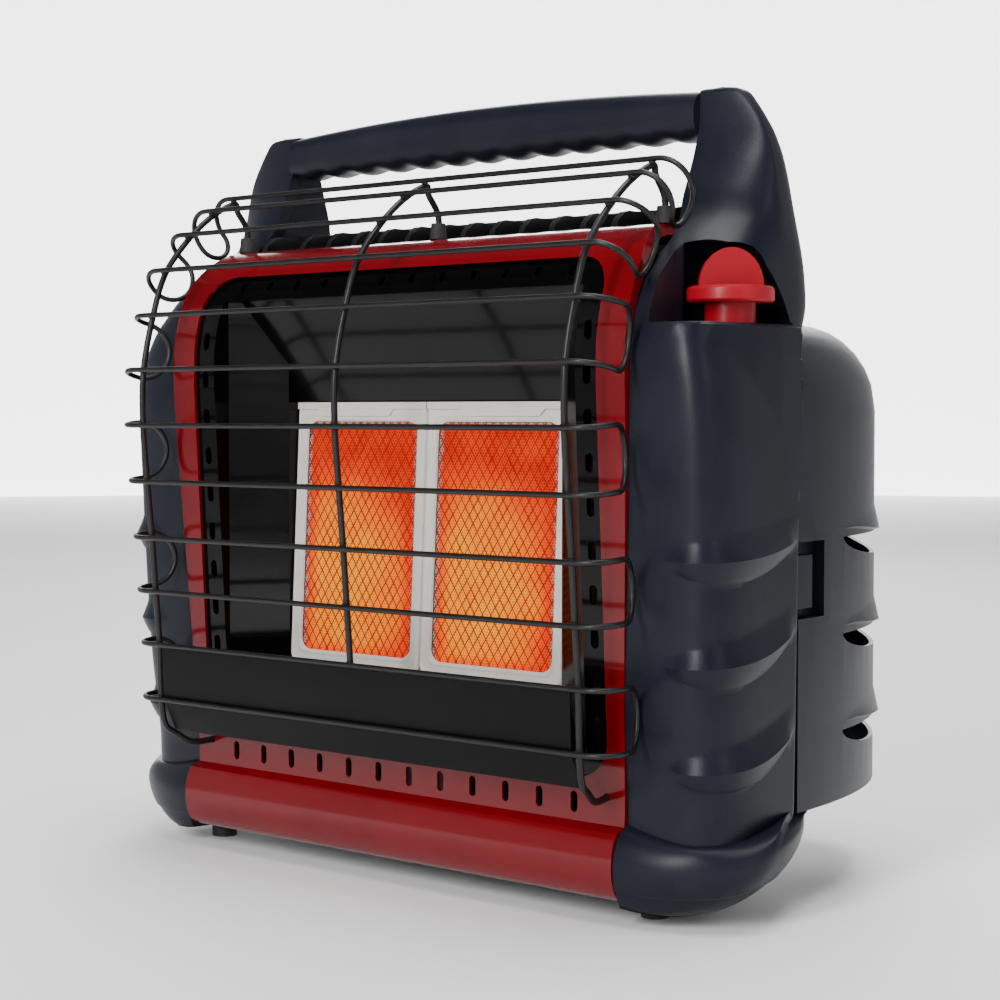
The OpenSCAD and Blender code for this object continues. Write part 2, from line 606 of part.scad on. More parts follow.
module guard_plate() color(black) across(-plate_half, plate_half)
    polygon(concat(plate_points(plate_in), reversed(plate_points(plate_in + guard_plate_t))));
module guard_boots() color(black) for (s = [-1, 0, 1]) translate([s * upright_x, panel_end_y, panel_top_z])
    difference() {
        cylinder(r1 = 5, r2 = 4, h = boot_h);
        translate([0, 0, -1]) cylinder(r = upright_r + 0.1, h = boot_h + 2);
    }

// ---------- side panels ----------
panel_half = panel_w / 2 + 1;
side_max = panel_half + side_bulge;
side_in = case_half + seat;
// the outline of the panel at each height
function inner_x(z) = z < 330 ? panel_half_at(z) + 0.4 : lerp(panel_w / 2 + 0.4, horn_half, smooth((z - 330) / 45));
function outer_x(z) = knots([[22, side_max - 8], [50, side_max], [250, side_max], [276, side_max - 2],
    [300, side_max - 7], [326, side_max - 11], [345, side_max - 13], [380, side_max - 18], [394, side_max - 20],
    [406, side_max - 24], [416, side_max - 30], [horn_top_z - 6, side_max - 38],
    [horn_top_z - 2, side_max - 48], [horn_top_z, side_max - 58]], z);
function front_of(z) = knots([[22, 2 - foot_front], [60, 2 - foot_front], [110, -99], [262, -104.8], [286, -104.5],
    [310, -100], [326, -92], [340, -76], [350, -58], [360, -45], [372, -37], [391, -28.5], [410, -20],
    [horn_top_z - 4, -14], [horn_top_z, -9]], z);
function rear_of(z) = knots([[22, -30], [31, -4], [43, 14], [50, 25], [50.5, seam_y], [250, seam_y], [262, -18],
    [276, -13.5], [285, -8.5], [292, -4], [300, 1.5], [306, 6.5], [309, 10], [318, 14], [330, 15], [345, 13],
    [380, 9], [400, 3], [414, -3], [horn_top_z - 4, -7], [horn_top_z, -10]], z);
function widest_y(z) = min(rear_of(z) - 1, knots([[22, -60], [50, seam_y - 6], [276, seam_y - 1], [318, -16],
    [345, -14], [400, -18], [horn_top_z, -18]], z));
// squareness of the front corner: 2 is an ellipse, higher is boxier
function corner_n(z) = knots([[60, 4.6], [162, 6.5], [242, 7], [290, 6.5], [300, 5.7], [315, 3.5], [335, 2.4],
    [345, 2]], z);
// quarter turn of a superellipse at angle a: both reaches as fractions
function corner(a, n) = let (c = cos(a), d = sin(a)) [c, d] * pow(pow(abs(c), n) + pow(abs(d), n), -1 / n);
side_cols = 16;
rear_cols = 6;
scoop_start = 0.24;
// three scoops: each has a lower line, a lip and an upper line that run back to the seam
scoop_sweep = [17, 16.2, 8.5];
function scoop_u(s) = clamp01((s - scoop_start) / (1 - scoop_start));
function scoop_on(s) = s > scoop_start ? 1 : 0;
function lip_z(k, s) = let (u = scoop_u(s)) scoop_z - scoop_pitch * (2 - k)
    - 1.2 * sin(180 * u) + scoop_sweep[k] * pow(u, 2.7);
function hood_h(s) = let (u = scoop_u(s)) 1.5 + 12.5 * pow(sin(125 * u), 0.6);
function chin_h(s) = let (u = scoop_u(s)) 1.5 + 10 * pow(sin(180 * pow(u, 0.95)), 0.8);
function lip_out(s) = let (u = scoop_u(s)) scoop_on(s) * scoop_rise * pow(sin(20 + 145 * u), 0.9) *
    smooth(u * 5) * smooth((1 - u) * 7 + 0.15);
// rows from the foot to the horn: [kind, value]
high_rows = [214, 236, 250, 262, 276, 285, 292, 300, 306, 309, 318, 326, 335, 345, 356, 368, 380, 394, 406, 416,
    horn_top_z - 6, horn_top_z - 2, horn_top_z];
function side_rows() = concat([for (z = [22, 31, 43, 50, 50.5, 58]) [1, z]],
    [for (k = [0:2]) each concat([[2, k], [3, k], [4, k]], k < 2 ? [[5, k]] : [])],
    [for (z = high_rows) [1, z]]);
function row_z(row, s) = row[0] == 1 ? row[1] :
    row[0] == 2 ? lip_z(row[1], s) - chin_h(s) : row[0] == 3 ? lip_z(row[1], s) :
    row[0] == 4 ? lip_z(row[1], s) + hood_h(s) :
    (lip_z(row[1], s) + hood_h(s) + lip_z(row[1] + 1, s) - chin_h(s)) / 2;
function side_point(row, s, inset) = let (
    z = row_z(row, min(s, 1)), xi = inner_x(z), xo = outer_x(z) - inset,
    yf = front_of(z) + inset, yr = rear_of(z) - inset, ym = min(widest_y(z), yr - 1),
    n = corner_n(z), rear_power = lerp(0.95, 0.6, smooth((z - 250) / 60)),
    lip = inset > 0 ? 0 : row[0] == 3 ? lip_out(min(s, 1)) : 0)
    s <= 1 ? let (q = corner(90 * (1 - s), n),
        m = unit([pow(q[0], n - 1) * (ym - yf), -pow(q[1], n - 1) * (xo - xi)]))
        [xi + (xo - xi) * q[0] + lip * m[0], ym + (yf - ym) * q[1] + lip * m[1], z] :
    let (a = 90 * (s - 1), c = pow(cos(a), rear_power), d = pow(sin(a), rear_power))
        [xi + (xo - xi) * c + lip * (2 - s), ym + (yr - ym) * d, z];
// the panel's inner face stays beside the case and a rebate holds the turned edge of the red panel
function side_ring(row, inset, reach) = let (z0 = row_z(row, 0), z1 = row_z(row, 1),
    x0 = z0 > 343 ? min(inner_x(z0), lerp(side_in, horn_half, smooth((z0 - 343) / 12))) : side_in)
    concat([[x0 - reach, front_of(z0) + 9 + inset, z0],
            [max(inner_x(z0) - 0.05, x0 - reach + 0.3), front_of(z0) + 9 + inset, z0]],
    [for (j = [0:side_cols]) side_point(row, j / side_cols, inset)],
    [for (j = [1:rear_cols]) side_point(row, 1 + j / rear_cols, inset)],
    [[x0 - reach, side_point(row, 2, inset)[1], z1]]);
side_n = side_cols + rear_cols + 4;
function side_grid(rows, inset, reach) = [for (row = rows) each side_ring(row, inset, reach)];
// rounded toe at the foot of the panel, flush with the chin: w runs 0 crease, 1 ridge, 2 underside
function crease_z(t) = t > 1 ? 50 : 50 - 7 * sin(180 * t) + 4.5 * t * t;
function ridge_z(t) = t <= 1 ? 29 + 11 * pow(t, 2.2) : 40 + 6 * sin(90 * min(1, (t - 1) * 2));
function sole_z(t) = 6.5 + 2.5 * pow(1 - min(t, 1), 3);
function oval(xi, xo, yf, ym, yr, t, n) = let (q = corner(90 * (t <= 1 ? 1 - t : t - 1), t <= 1 ? n : 2))
    [xi + (xo - xi) * q[0], ym + ((t <= 1 ? yf : yr) - ym) * q[1]];
toe_x0 = panel_half_at(0) + 1;
chin_y = -foot_front - chin_bulge + 1;
function toe_point(w, t) = let (
    top = oval(toe_x0, side_max - 1, front_of(50) + 1, seam_y - 6, 23, t, 4.6),
    mid = oval(toe_x0, side_max + 13, chin_y, -62, 16, t, 2),
    low = oval(toe_x0, side_max - 23, chin_y + 6, -72, -50, t, 2.1),
    f = w <= 1 ? 90 * w : 90 * (w - 1), step = w > 1.42 && w < 1.95 ? 1.2 : 0,
    q = w <= 1 ? sin(f) : pow(cos(f), 1.2), h = w <= 1 ? 1 - cos(f) : pow(sin(f), 1.2))
    w < 0 ? [each (top + ([toe_x0, -40] - top) * 0.2), 43.5] :
    w <= 1 ? [each (top + (mid - top) * q), crease_z(t) + (ridge_z(t) - crease_z(t)) * h] :
    [each (low + (mid - low) * q - step * unit(mid - [toe_x0 - 20, -70])), ridge_z(t) + (sole_z(t) - ridge_z(t)) * h];
foot_x = toe_x0 + 2;
foot_y = -74;
foot_r = 7.5;
toe_cols = 22;
toe_rows = [2, 1.88, 1.75, 1.6, 1.43, 1.41, 1.25, 1.1, 1, 0.85, 0.7, 0.5, 0.3, 0, -1];
module toe() polyhedron([for (w = toe_rows) each concat([[toe_x0 - 0.6, toe_point(w, 0)[1], toe_point(w, 0)[2]]],
    [for (j = [0:toe_cols]) toe_point(w, 2 * j / toe_cols)],
    [[toe_x0 - 0.6, toe_point(w, 2)[1], toe_point(w, 2)[2]]])],
    grid_faces(len(toe_rows), toe_cols + 3), convexity = 8);
module side_body() {
    polyhedron(side_grid(side_rows(), 0, 0), grid_faces(len(side_rows()), side_n), convexity = 10);
    toe();
}
hollow_rows = [for (z = [36, 49, 52, 120, 200, 250, 270, 285, niche_z - side_wall]) [1, z]];
module side_hollow() intersection() {
    polyhedron(side_grid(hollow_rows, side_wall, 12), grid_faces(len(hollow_rows), side_n), convexity = 6);
    translate([side_in - 5, -200, 0]) cube([200, 200 + seam_y - side_wall, 400]);
}
// knob niche: a lopsided arch seen from the side, its inner wall hollowed round the knob
niche_mid = -58;
niche_front = 44;
niche_rear = 38;
niche_h = 43;
module niche_arch(d) translate([niche_mid, niche_z - d]) polygon([for (k = [0:24]) let (a = 7.5 * k, c = cos(a))
    [sign(c) * pow(abs(c), 1.25) * ((c > 0 ? niche_rear : niche_front) + d), (niche_h + 2 * d) * pow(sin(a), 1.25)]]);
niche_clear = knob_d / 2 + 1.5;
module niche_plan() polygon(concat([[260, -10], [260, -130], [176, -130], [176, -101], [174.5, -86], [173, -73]],
    [for (a = [-128:-13:-232]) [knob_x + niche_clear * cos(a), -knob_front + niche_clear * sin(a)]],
    [[176, -10]]));
module niche() {
    intersection() {
        across(150, 260) niche_arch(0);
        translate([0, 0, 290]) linear_extrude(80) niche_plan();
    }
    // room for the knob to turn
    translate([knob_x, -knob_front, niche_z]) rotate_extrude() polygon([[0, 0], [niche_clear, 0], [niche_clear, 22],
        [20, 27], [17.5, 34], [12, 39.5], [6, 41.5], [0, 42]]);
}
// upright pod under the niche, a little inside the panel's full outline
module pod() intersection() {
    translate([0, 0, 256]) linear_extrude(niche_z - 256) polygon(concat([[side_in, -96]],
        [for (j = [1:15]) let (p = side_point([1, 250], j / 15, 0.3)) [p[0], p[1]]],
        [[side_in, seam_y]]));
    translate([side_in, -100, 200]) cube([100, 100 + seam_y, 200]);
}
module side_shell() difference() {
    side_body();
    side_hollow();
}
module side_panel_right() color(charcoal) render() {
    many_hulls();
    difference() {
        union() {
            side_shell();
            difference() {
                pod();
                side_hollow();
            }
        }
        niche();
        translate([knob_x, -knob_front, 200]) cylinder(r = knob_skirt_d / 2 + 1.5, h = niche_z - 199);
        latch_notch();
        foot_notch();
    }
}
module side_panel_left() color(charcoal) mirror([1, 0, 0]) render() {
    many_hulls();
    difference() {
        side_shell();
        latch_notch();
        foot_notch();
    }
}
module foot_notch() translate([foot_x, foot_y, -1]) cylinder(r = foot_r + 0.5, h = ground_gap + 3);
// moulded pips inside the horn that locate the handle rod, each rounded by a hull
module many_hulls() for (i = [0:7]) translate([horn_half + 6, -handle_front + 3 * cos(45 * i), rod_z + 3 * sin(45 * i)])
    rotate([0, 90, 0]) hull() { cylinder(r = 1, h = 6, $fn = 8); translate([0, 0, 7]) cylinder(r = 0.6, h = 1, $fn = 8); }
latch_z0 = 152;
latch_z1 = 192;
module latch_notch() translate([door_half - 6, seam_y - 2.5, latch_z0]) cube([20, 6, latch_z1 - latch_z0]);

// ---------- handle ----------
rod_z = handle_top_z - handle_arch / 2 - grip_h / 2;
grip_z0 = handle_top_z - grip_h;
grip_sides = 14;
grip_rings = 53;
// rounded section that arches on top and carries the finger bumps underneath
function grip_ring(x) = let (top = handle_top_z - handle_arch * pow(x / horn_half, 2), mid = (top + grip_z0) / 2,
    bump = 1.8 * (0.5 + 0.5 * cos(360 * bump_n * (x / (2 * horn_half) + 0.5))))
    [for (k = [0:grip_sides - 1]) let (a = 360 * k / grip_sides, c = cos(a), s = sin(a),
        low = s < 0 ? bump * s : 0)
        [x, -handle_front + grip_d / 2 * sign(c) * pow(abs(c), 0.8),
         mid + ((top - grip_z0) / 2 + low) * sign(s) * pow(abs(s), 0.8)]];
module handle_grip() color(black) polyhedron([for (i = [0:grip_rings - 1])
    each grip_ring(lerp(-horn_half + seat, horn_half - seat, i / (grip_rings - 1)))],
    grid_faces(grip_rings, grip_sides), convexity = 4);
module handle_rod() color(steel) both() translate([horn_half - 5, -handle_front, rod_z]) rotate([0, 90, 0])
    cylinder(r = rod_d / 2, h = 10);

// ---------- control ----------
module at_knob() translate([knob_x, -knob_front, 0]) children();
spindle_r = spindle_d / 2;
stem_r = 3;
module gas_valve() color(brass) at_knob() difference() {
    union() {
        translate([-valve_half, -valve_half, valve_z0]) cube([2 * valve_half, 2 * valve_half, valve_h]);
        translate([0, 0, valve_z0 + valve_h - 1]) cylinder(r = spindle_r + 4, h = boss_z1 - valve_z0 - valve_h + 1);
        translate([case_half - knob_x, -8, valve_z0 + 22]) cube([knob_x - case_half - valve_half + 1, 16, 10]);
    }
    translate([0, 0, valve_z0 + 8]) cylinder(r = spindle_r + run_fit, h = 100);
}
module valve_spindle() color(steel) at_knob() difference() {
    translate([0, 0, valve_z0 + 8.3]) cylinder(r = spindle_r, h = boss_z1 - valve_z0 - 10);
    translate([0, 0, valve_z0 + 8 + 24]) cylinder(r = stem_r + run_fit, h = 100);
}
stem_z0 = valve_z0 + 8 + 24 + knob_travel + 2;
flange_z = niche_z + 11;
flange_t = 8.4;
module knob_stem() color(steel) at_knob() translate([0, 0, stem_z0])
    cylinder(r = stem_r, h = flange_z - stem_z0);
blade_h = 20;
module control_knob() color(red) at_knob() {
    difference() {
        union() {
            translate([0, 0, flange_z]) rotate_extrude() polygon([[0, 0], [knob_d / 2 - 1.2, 0],
                [knob_d / 2, 1.2], [knob_d / 2, flange_t - 2.2], [knob_d / 2 - 0.8, flange_t - 0.6],
                [knob_d / 2 - 2.6, flange_t], [0, flange_t]]);
            translate([0, 0, niche_z - 1.5]) cylinder(r = knob_skirt_d / 2, h = flange_z - niche_z + 2);
        }
        translate([0, 0, niche_z - 3]) difference() {
            cylinder(r = knob_skirt_d / 2 - 2, h = flange_z - niche_z + 2);
            cylinder(r = stem_r + 2, h = 40);
        }
        translate([0, 0, niche_z - 3]) cylinder(r = stem_r, h = flange_z - niche_z + 3);
    }
    // half-round finger blade
    intersection() {
        translate([0, 0, flange_z + flange_t - 0.5]) rotate([0, 0, knob_turn_rest]) rotate([90, 0, 0])
            translate([0, 0, -6]) linear_extrude(12) half_ellipse(16.5, blade_h);
        translate([0, 0, flange_z + flange_t - 1]) cylinder(r = knob_d / 2 - 3, h = 40);
    }
}
knob_turn_rest = 40;
spring_turns = 4;
module knob_spring() color(steel) at_knob() {
    z0 = boss_z1 + 1.2;
    z1 = flange_z - 2.2;
    n = spring_turns * 10;
    wire([for (i = [0:n]) let (a = 36 * i) [8 * cos(a), 8 * sin(a), lerp(z0, z1, i / n)]], 0.9, 6, [0, 0, 1]);
}
module piezo_igniter() color([0.9, 0.88, 0.82]) at_knob() {
    translate([0, 0, valve_z0 - 34]) cylinder(r = 7, h = 34);
    translate([0, 0, valve_z0 - 40]) cylinder(r = 2, h = 6.5);
}
module tip_switch() color(black) translate([-120, -40, shell_z0]) {
    cube([26, 18, 14]);
    translate([13, 9, 13.5]) cylinder(r = 6, h = 6);
}

// ---------- fan ----------
fan_y = spine_back - sheet_t - seat;
module fan_frame() color(black) front_cut(fan_y - 25, fan_y) difference() {
    translate([0, fan_z]) rounded(2 * fan_r + 9, 2 * fan_r + 9, 5);
    translate([0, fan_z]) circle(fan_r + 1.5);
    for (i = [-1, 1], j = [-1, 1]) translate([i * fan_r, fan_z + j * fan_r]) circle(2.2);
}
module fan_motor() color(steel) {
    front_cut(fan_y - 24, fan_y - 12) difference() { translate([0, fan_z]) circle(13); translate([0, fan_z]) circle(1.5); }
    front_cut(fan_y - 24, fan_y - 2) translate([0, fan_z]) circle(1.5);
    front_cut(fan_y - 24, fan_y - 21) for (a = [45:90:315]) translate([0, fan_z]) rotate(a)
        translate([12.5, -2]) square([fan_r - 11.2, 4]);
}
module fan_rotor() color(black) {
    front_cut(fan_y - 11.5, fan_y - 3) translate([0, fan_z]) difference() {
        circle(16);
        circle(1.5 + run_fit);
    }
    for (i = [0:blade_n - 1]) translate([0, fan_y - 7.25, fan_z]) rotate([0, 360 / blade_n * i, 0])
        translate([15, 0, 0]) rotate([32, 0, 0]) translate([0, -0.8, -11])
        cube([fan_r - 15 - 1, 1.6, 22]);
}
module rear_grille() color(black) {
    y0 = spine_back - sheet_t;
    for (i = [0:4]) front_cut(y0, y0 + 3.2) translate([0, fan_z]) difference() {
        circle(fan_r + 2.5 - 9 * i);
        circle(i == 4 ? 0.01 : fan_r - 0.5 - 9 * i);
    }
    for (a = [0:45:315]) front_cut(y0, y0 + 2.6) translate([0, fan_z]) rotate(a)
        translate([3, -1.25]) square([fan_r - 1.5, 2.5]);
}

// ---------- battery ----------
batt_y1 = spine_back - sheet_t - seat;
module battery_box() color(black) difference() {
    translate([-battery_w / 2 - 2, batt_y1 - battery_d - 2, battery_z - 2])
        cube([battery_w + 4, battery_d + 2, battery_h + 4]);
    translate([-battery_w / 2, batt_y1 - battery_d, battery_z]) cube([battery_w, battery_d + 1, battery_h]);
}
module battery_contacts() color(steel) for (s = [-1, 1], j = [0, 1])
    translate([s * (battery_w / 2 - 0.5) - 0.4, batt_y1 - battery_d / 2 - 8, battery_z + 10 + j * battery_h / 2])
        cube([0.8, 16, 16]);
batt_hinge_z = battery_z - 7.2;
batt_hinge_y = spine_back + 2.6;
batt_hinge_x = 50;
batt_knuckle_r = 2.4;
batt_pin_r = 1;
// knuckle along X centred at x, from -h/2 to h/2
module batt_knuckle(x, h) translate([x - h / 2, batt_hinge_y, batt_hinge_z]) rotate([0, 90, 0])
    cylinder(r = batt_knuckle_r, h = h);
module batt_bore(x) translate([x - 15, batt_hinge_y, batt_hinge_z]) rotate([0, 90, 0])
    cylinder(r = batt_pin_r + run_fit, h = 30);
module battery_door() color(black) {
    difference() {
        translate([0, spine_back + 2.4, 0]) rotate([90, 0, 0]) linear_extrude(2.2)
            translate([0, battery_open_z]) rounded(battery_w + 8, battery_h + 8, 4);
        translate([-12, spine_back + 1.2, battery_z + battery_h - 5]) cube([24, 4, 6]);
    }
    for (s = [-1, 1]) difference() {
        union() {
            batt_knuckle(s * batt_hinge_x, 8);
            translate([s * batt_hinge_x - 4, spine_back + 0.4, batt_hinge_z]) cube([8, 2, 6]);
        }
        batt_bore(s * batt_hinge_x);
    }
}
switch_w = 22;
switch_h = 12;
module switch_housing() color(black) difference() {
    union() {
        translate([switch_x - switch_w / 2 + seat, spine_back - 12, switch_z - switch_h / 2 + seat])
            cube([switch_w - 2 * seat, 12, switch_h - 2 * seat]);
        translate([switch_x - switch_w / 2 - 2, spine_back, switch_z - switch_h / 2 - 2])
            cube([switch_w + 4, 1.2, switch_h + 4]);
    }
    translate([switch_x - switch_w / 2 + 2, spine_back - 8, switch_z - switch_h / 2 + 2])
        cube([switch_w - 4, 20, switch_h - 4]);
    translate([switch_x, rocker_y, switch_z - 10]) cylinder(r = 1 + run_fit, h = 20);
}
rocker_y = spine_back - 3.4;
module fan_rocker() color(black) translate([switch_x, rocker_y, switch_z]) {
    translate([0, 0, -5.2]) cylinder(r = 1, h = 10.4);
    intersection() {
        translate([-8, -2.5, -3.7]) cube([16, 7.5, 7.4]);
        translate([0, -11.5, -10]) cylinder(r = 16.2, h = 20);
    }
}

// ---------- cylinder bays ----------
post_x = case_half - 8;
post_y = case_back + 13;
post_r = 6;
inlet_z = 296;
inlet_r = 4;
collar_z0 = 258;
collar_z1 = 284;
module swivel_posts() color(brass) both() {
    translate([post_x, post_y, collar_z0 - 4]) cylinder(r = post_r, h = inlet_z - collar_z0 + 11);
    translate([post_x, case_back - 12, inlet_z]) rotate([-90, 0, 0]) cylinder(r = inlet_r, h = post_y - case_back + 12);
    translate([post_x, post_y, collar_z0 - 7]) cylinder(r = post_r + 3, h = 6);
    translate([post_x - 7, case_back, collar_z0 - 12]) cube([14, 5, 12]);
    translate([post_x - 5, case_back, collar_z0 - 7]) cube([10, post_y - case_back, 6]);
    translate([post_x - 7, case_back, inlet_z - 6]) cube([14, 4, 12]);
}
arm_dir = atan2(bay_y - post_y, bay_x - post_x);
arm_len = norm([bay_y - post_y, bay_x - post_x]);
module regulator() {
    difference() {
        union() {
            // socket body over the cylinder neck
            translate([bay_x, bay_y, collar_z0 - 4]) cylinder(r = socket_r + 4.5, h = 20);
            // diaphragm housing with its rolled flange
            translate([bay_x, bay_y, collar_z0 + 14]) rotate_extrude() polygon([[0, 0], [20, 0], [22, 3],
                [25.5, 3.6], [25.5, 7.6], [22, 8.4], [19, 14], [9, 16.5], [0, 17]]);
            // arm and collar
            translate([post_x, post_y, collar_z0 + 4]) rotate([0, 0, arm_dir]) translate([0, -6, 0])
                cube([arm_len, 12, 12]);
            translate([post_x, post_y, collar_z0]) cylinder(r = post_r + 4, h = collar_z1 - collar_z0);
        }
        translate([post_x, post_y, 200]) cylinder(r = post_r + run_fit, h = 200);
        translate([bay_x, bay_y, collar_z0 - 5]) cylinder(r = socket_r, h = socket_depth + 1);
    }
}
module regulator_right() color(steel) regulator();
module regulator_left() color(steel) mirror([1, 0, 0]) regulator();

// ---------- cylinder doors ----------
door_cx = 125;
door_a = door_half - door_cx;
door_b = door_back - seam_y;
roof_r = 46;
roof_h = 48;
door_steps = 26;
hood_z = 198;
hood_out = 3.6;
function roof_in(z) = z < door_z1 - roof_h ? 0 :
    roof_r * (1 - sqrt(max(0, 1 - pow((z - door_z1 + roof_h) / roof_h, 2))));
function hood_at(a) = clamp01((a - 20) / 78);
function hood_lip(k, a) = hood_z - 52 * (2 - k) - 5 * sin(180 * hood_at(a));
function hood_bump(a) = hood_out * pow(sin(180 * hood_at(a)), 0.7);
// rows: [kind, value, hood]: 0 plain height, 1 foot of a hood, 2 lip, 3 top of the flare
function door_rows() = concat([[0, door_z0]], [for (k = [0:2]) each [[1, k], [2, k], [3, k]]],
    [for (z = [door_z1 - roof_h]) [0, z]], [for (a = [18:12:78]) [0, door_z1 - roof_h * (1 - sin(a))]],
    [[0, door_z1 - 0.25], [0, door_z1]]);
function door_row_z(row, a) = row[0] == 0 ? row[1] : row[0] == 1 ? hood_lip(row[1], a) - 1.2 :
    row[0] == 2 ? hood_lip(row[1], a) : hood_lip(row[1], a) + 3 + 12 * sin(180 * hood_at(a));
function door_point(row, a, inset) = let (z = door_row_z(row, a),
    e = min(roof_in(min(z, door_z1 - 0.05)) + inset, door_a - 3),
    bump = row[0] == 2 && inset == 0 ? hood_bump(a) : 0, power = 0.95,
    c = cos(a), s = sin(a))
    [door_cx + (door_a - e) * sign(c) * pow(abs(c), power) + bump * c,
     seam_y + (door_b - e) * pow(s, power) + bump * s * 0.9, z];
door_span = 150;
function door_ring(row, inset) = concat([for (i = [0:door_steps]) door_point(row, door_span * i / door_steps, inset)],
    [[door_cx, seam_y - 10, door_row_z(row, 0)]]);
module door_form() polyhedron([for (row = door_rows()) each door_ring(row, 0)],
    grid_faces(len(door_rows()), door_steps + 2), convexity = 8);
inner_rows = concat([[0, door_z0 - 5], [0, door_z1 - roof_h]],
    [for (a = [20:14:76]) [0, door_z1 - door_wall - roof_h + roof_h * sin(a)]], [[0, door_z1 - door_wall]]);
module door_inner() translate([0, 0, 0]) polyhedron([for (row = inner_rows) each door_ring(row, door_wall)],
    grid_faces(len(inner_rows), door_steps + 2), convexity = 6);
door_inner_wall = spine_half + door_gap;
module door_keep() difference() {
    translate([door_inner_wall, seam_y + door_gap, door_z0 - 1]) cube([200, 250, 300]);
    // clear of the case and of the side panel's rear edge
    translate([0, -200, 0]) cube([case_half + door_gap, 200 + case_back + door_gap, 400]);
    across(0, 300) polygon(concat([[-200, 0], [seam_y + door_gap, 0]],
        [for (z = [246, 250, 256, 262, 269, 276, 281, 285, 289, 292, 296, 300, 303, 306, 309]) [rear_of(z) + door_gap, z]],
        [[rear_of(door_z1 + 1) + door_gap, 320], [-200, 320]]));
}
module hood_mouths() for (k = [0:2]) translate([door_cx + 10, 40, hood_z - 52 * (2 - k) - 5.5])
    rotate([0, 0, 52]) rotate([90, 0, 90]) linear_extrude(200) mirror([0, 1, 0]) half_ellipse(64, 12.5);
hinge_x = spine_half + 4;
hinge_y = spine_back + 8;
knuckle_r = 4.5;
pin_r = 2;
module door_shell() difference() {
    union() {
        intersection() {
            difference() {
                door_form();
                door_inner();
            }
            door_keep();
        }
        // inner wall beside the rear housing
        intersection() {
            door_form();
            translate([door_inner_wall, hinge_y + knuckle_r + 1, door_z0]) cube([door_wall, 200, door_z1 - door_z0]);
        }
        // pocket behind the finger latch
        intersection() {
            door_form();
            translate([door_half - 11, seam_y + door_gap, latch_z0 - 3]) cube([20, 32, latch_z1 - latch_z0 + 6]);
        }
    }
    translate([door_half - 8, seam_y - 5, latch_z0]) cube([20, 33, latch_z1 - latch_z0]);
    hood_mouths();
    translate([hinge_x - 10, spine_back - 10, door_z0 - 5]) cube([knuckle_r + 13, 10 + hinge_y + knuckle_r + 0.4 - spine_back, 300]);
}
module door_tie() for (i = [0:7]) translate([door_half - 10.5, seam_y + 16, latch_z0 + 2 + 4.5 * i])
    hull() { sphere(0.8, $fn = 8); translate([0, 2, 0]) sphere(0.8, $fn = 8); }
module door_right() color(charcoal) render() { door_shell(); door_tie(); }
module door_left() color(charcoal) mirror([1, 0, 0]) render() { door_shell(); door_tie(); }
hinge_sites = [84, 262];
knuckle_h = 14;
module door_hinge() for (z = hinge_sites) translate([hinge_x, hinge_y, z]) difference() {
    union() {
        cylinder(r = knuckle_r, h = knuckle_h);
        translate([door_inner_wall + door_wall - hinge_x, 0, 0]) cube([knuckle_r + 0.7, 14, knuckle_h]);
    }
    translate([0, 0, -1]) cylinder(r = pin_r + run_fit, h = knuckle_h + 2);
}
module door_hinge_right() color(charcoal) door_hinge();
module door_hinge_left() color(charcoal) mirror([1, 0, 0]) door_hinge();
lug_h = 8;
module hinge_lugs() color(black) both() {
    door_lugs();
    for (s = [-1, 1]) difference() {
        union() {
            batt_knuckle(batt_hinge_x + s * 6.3, 4);
            translate([batt_hinge_x + s * 6.3 - 2, spine_back, batt_hinge_z - batt_knuckle_r])
                cube([4, batt_hinge_y - spine_back, batt_knuckle_r]);
        }
        batt_bore(batt_hinge_x);
    }
}
module door_lugs() for (z = hinge_sites, up = [0, 1])
    translate([hinge_x, hinge_y, up == 0 ? z - lug_h - seat : z + knuckle_h + seat]) difference() {
        union() {
            cylinder(r = knuckle_r, h = lug_h);
            translate([-knuckle_r - 6, -hinge_y + spine_back, 0]) cube([knuckle_r + 6, 4, lug_h]);
            translate([-knuckle_r, -hinge_y + spine_back, 0]) cube([knuckle_r, hinge_y - spine_back, lug_h]);
        }
        translate([0, 0, -1]) cylinder(r = pin_r + run_fit, h = lug_h + 2);
    }
module hinge_pins() color(steel) both() {
    door_pins();
    translate([batt_hinge_x - 8.3, batt_hinge_y, batt_hinge_z]) rotate([0, 90, 0]) cylinder(r = batt_pin_r, h = 16.6);
}
module door_pins() for (z = hinge_sites) translate([hinge_x, hinge_y, z - lug_h - seat]) {
    cylinder(r = pin_r, h = 2 * lug_h + knuckle_h + 2 * seat + 0.2);
    translate([0, 0, 2 * lug_h + knuckle_h + 2 * seat + 0.1]) cylinder(r = 3.2, h = 1.6);
}
latch_out = 1.6;
module latch() translate([door_half - 8 + seat, seam_y + 2, latch_z0 + 5])
    cube([latch_out + 4, 16, latch_z1 - latch_z0 - 12]);
module latch_right() color(charcoal) latch();
module latch_left() color(charcoal) mirror([1, 0, 0]) latch();

// ---------- feet and screws ----------
module feet() color(black) both() {
    translate([foot_x, foot_y, 0]) cylinder(r = foot_r, h = ground_gap);
    translate([spine_half - 14, spine_back - 12, 0]) cylinder(r1 = 8, r2 = 9, h = ground_gap);
}
module case_screws() color(steel) for (x = [-spine_half + 8, spine_half - 8], z = [20, 330])
    translate([x, spine_back, z]) rotate([-90, 0, 0]) cylinder(r = 3.2, h = 1.8);

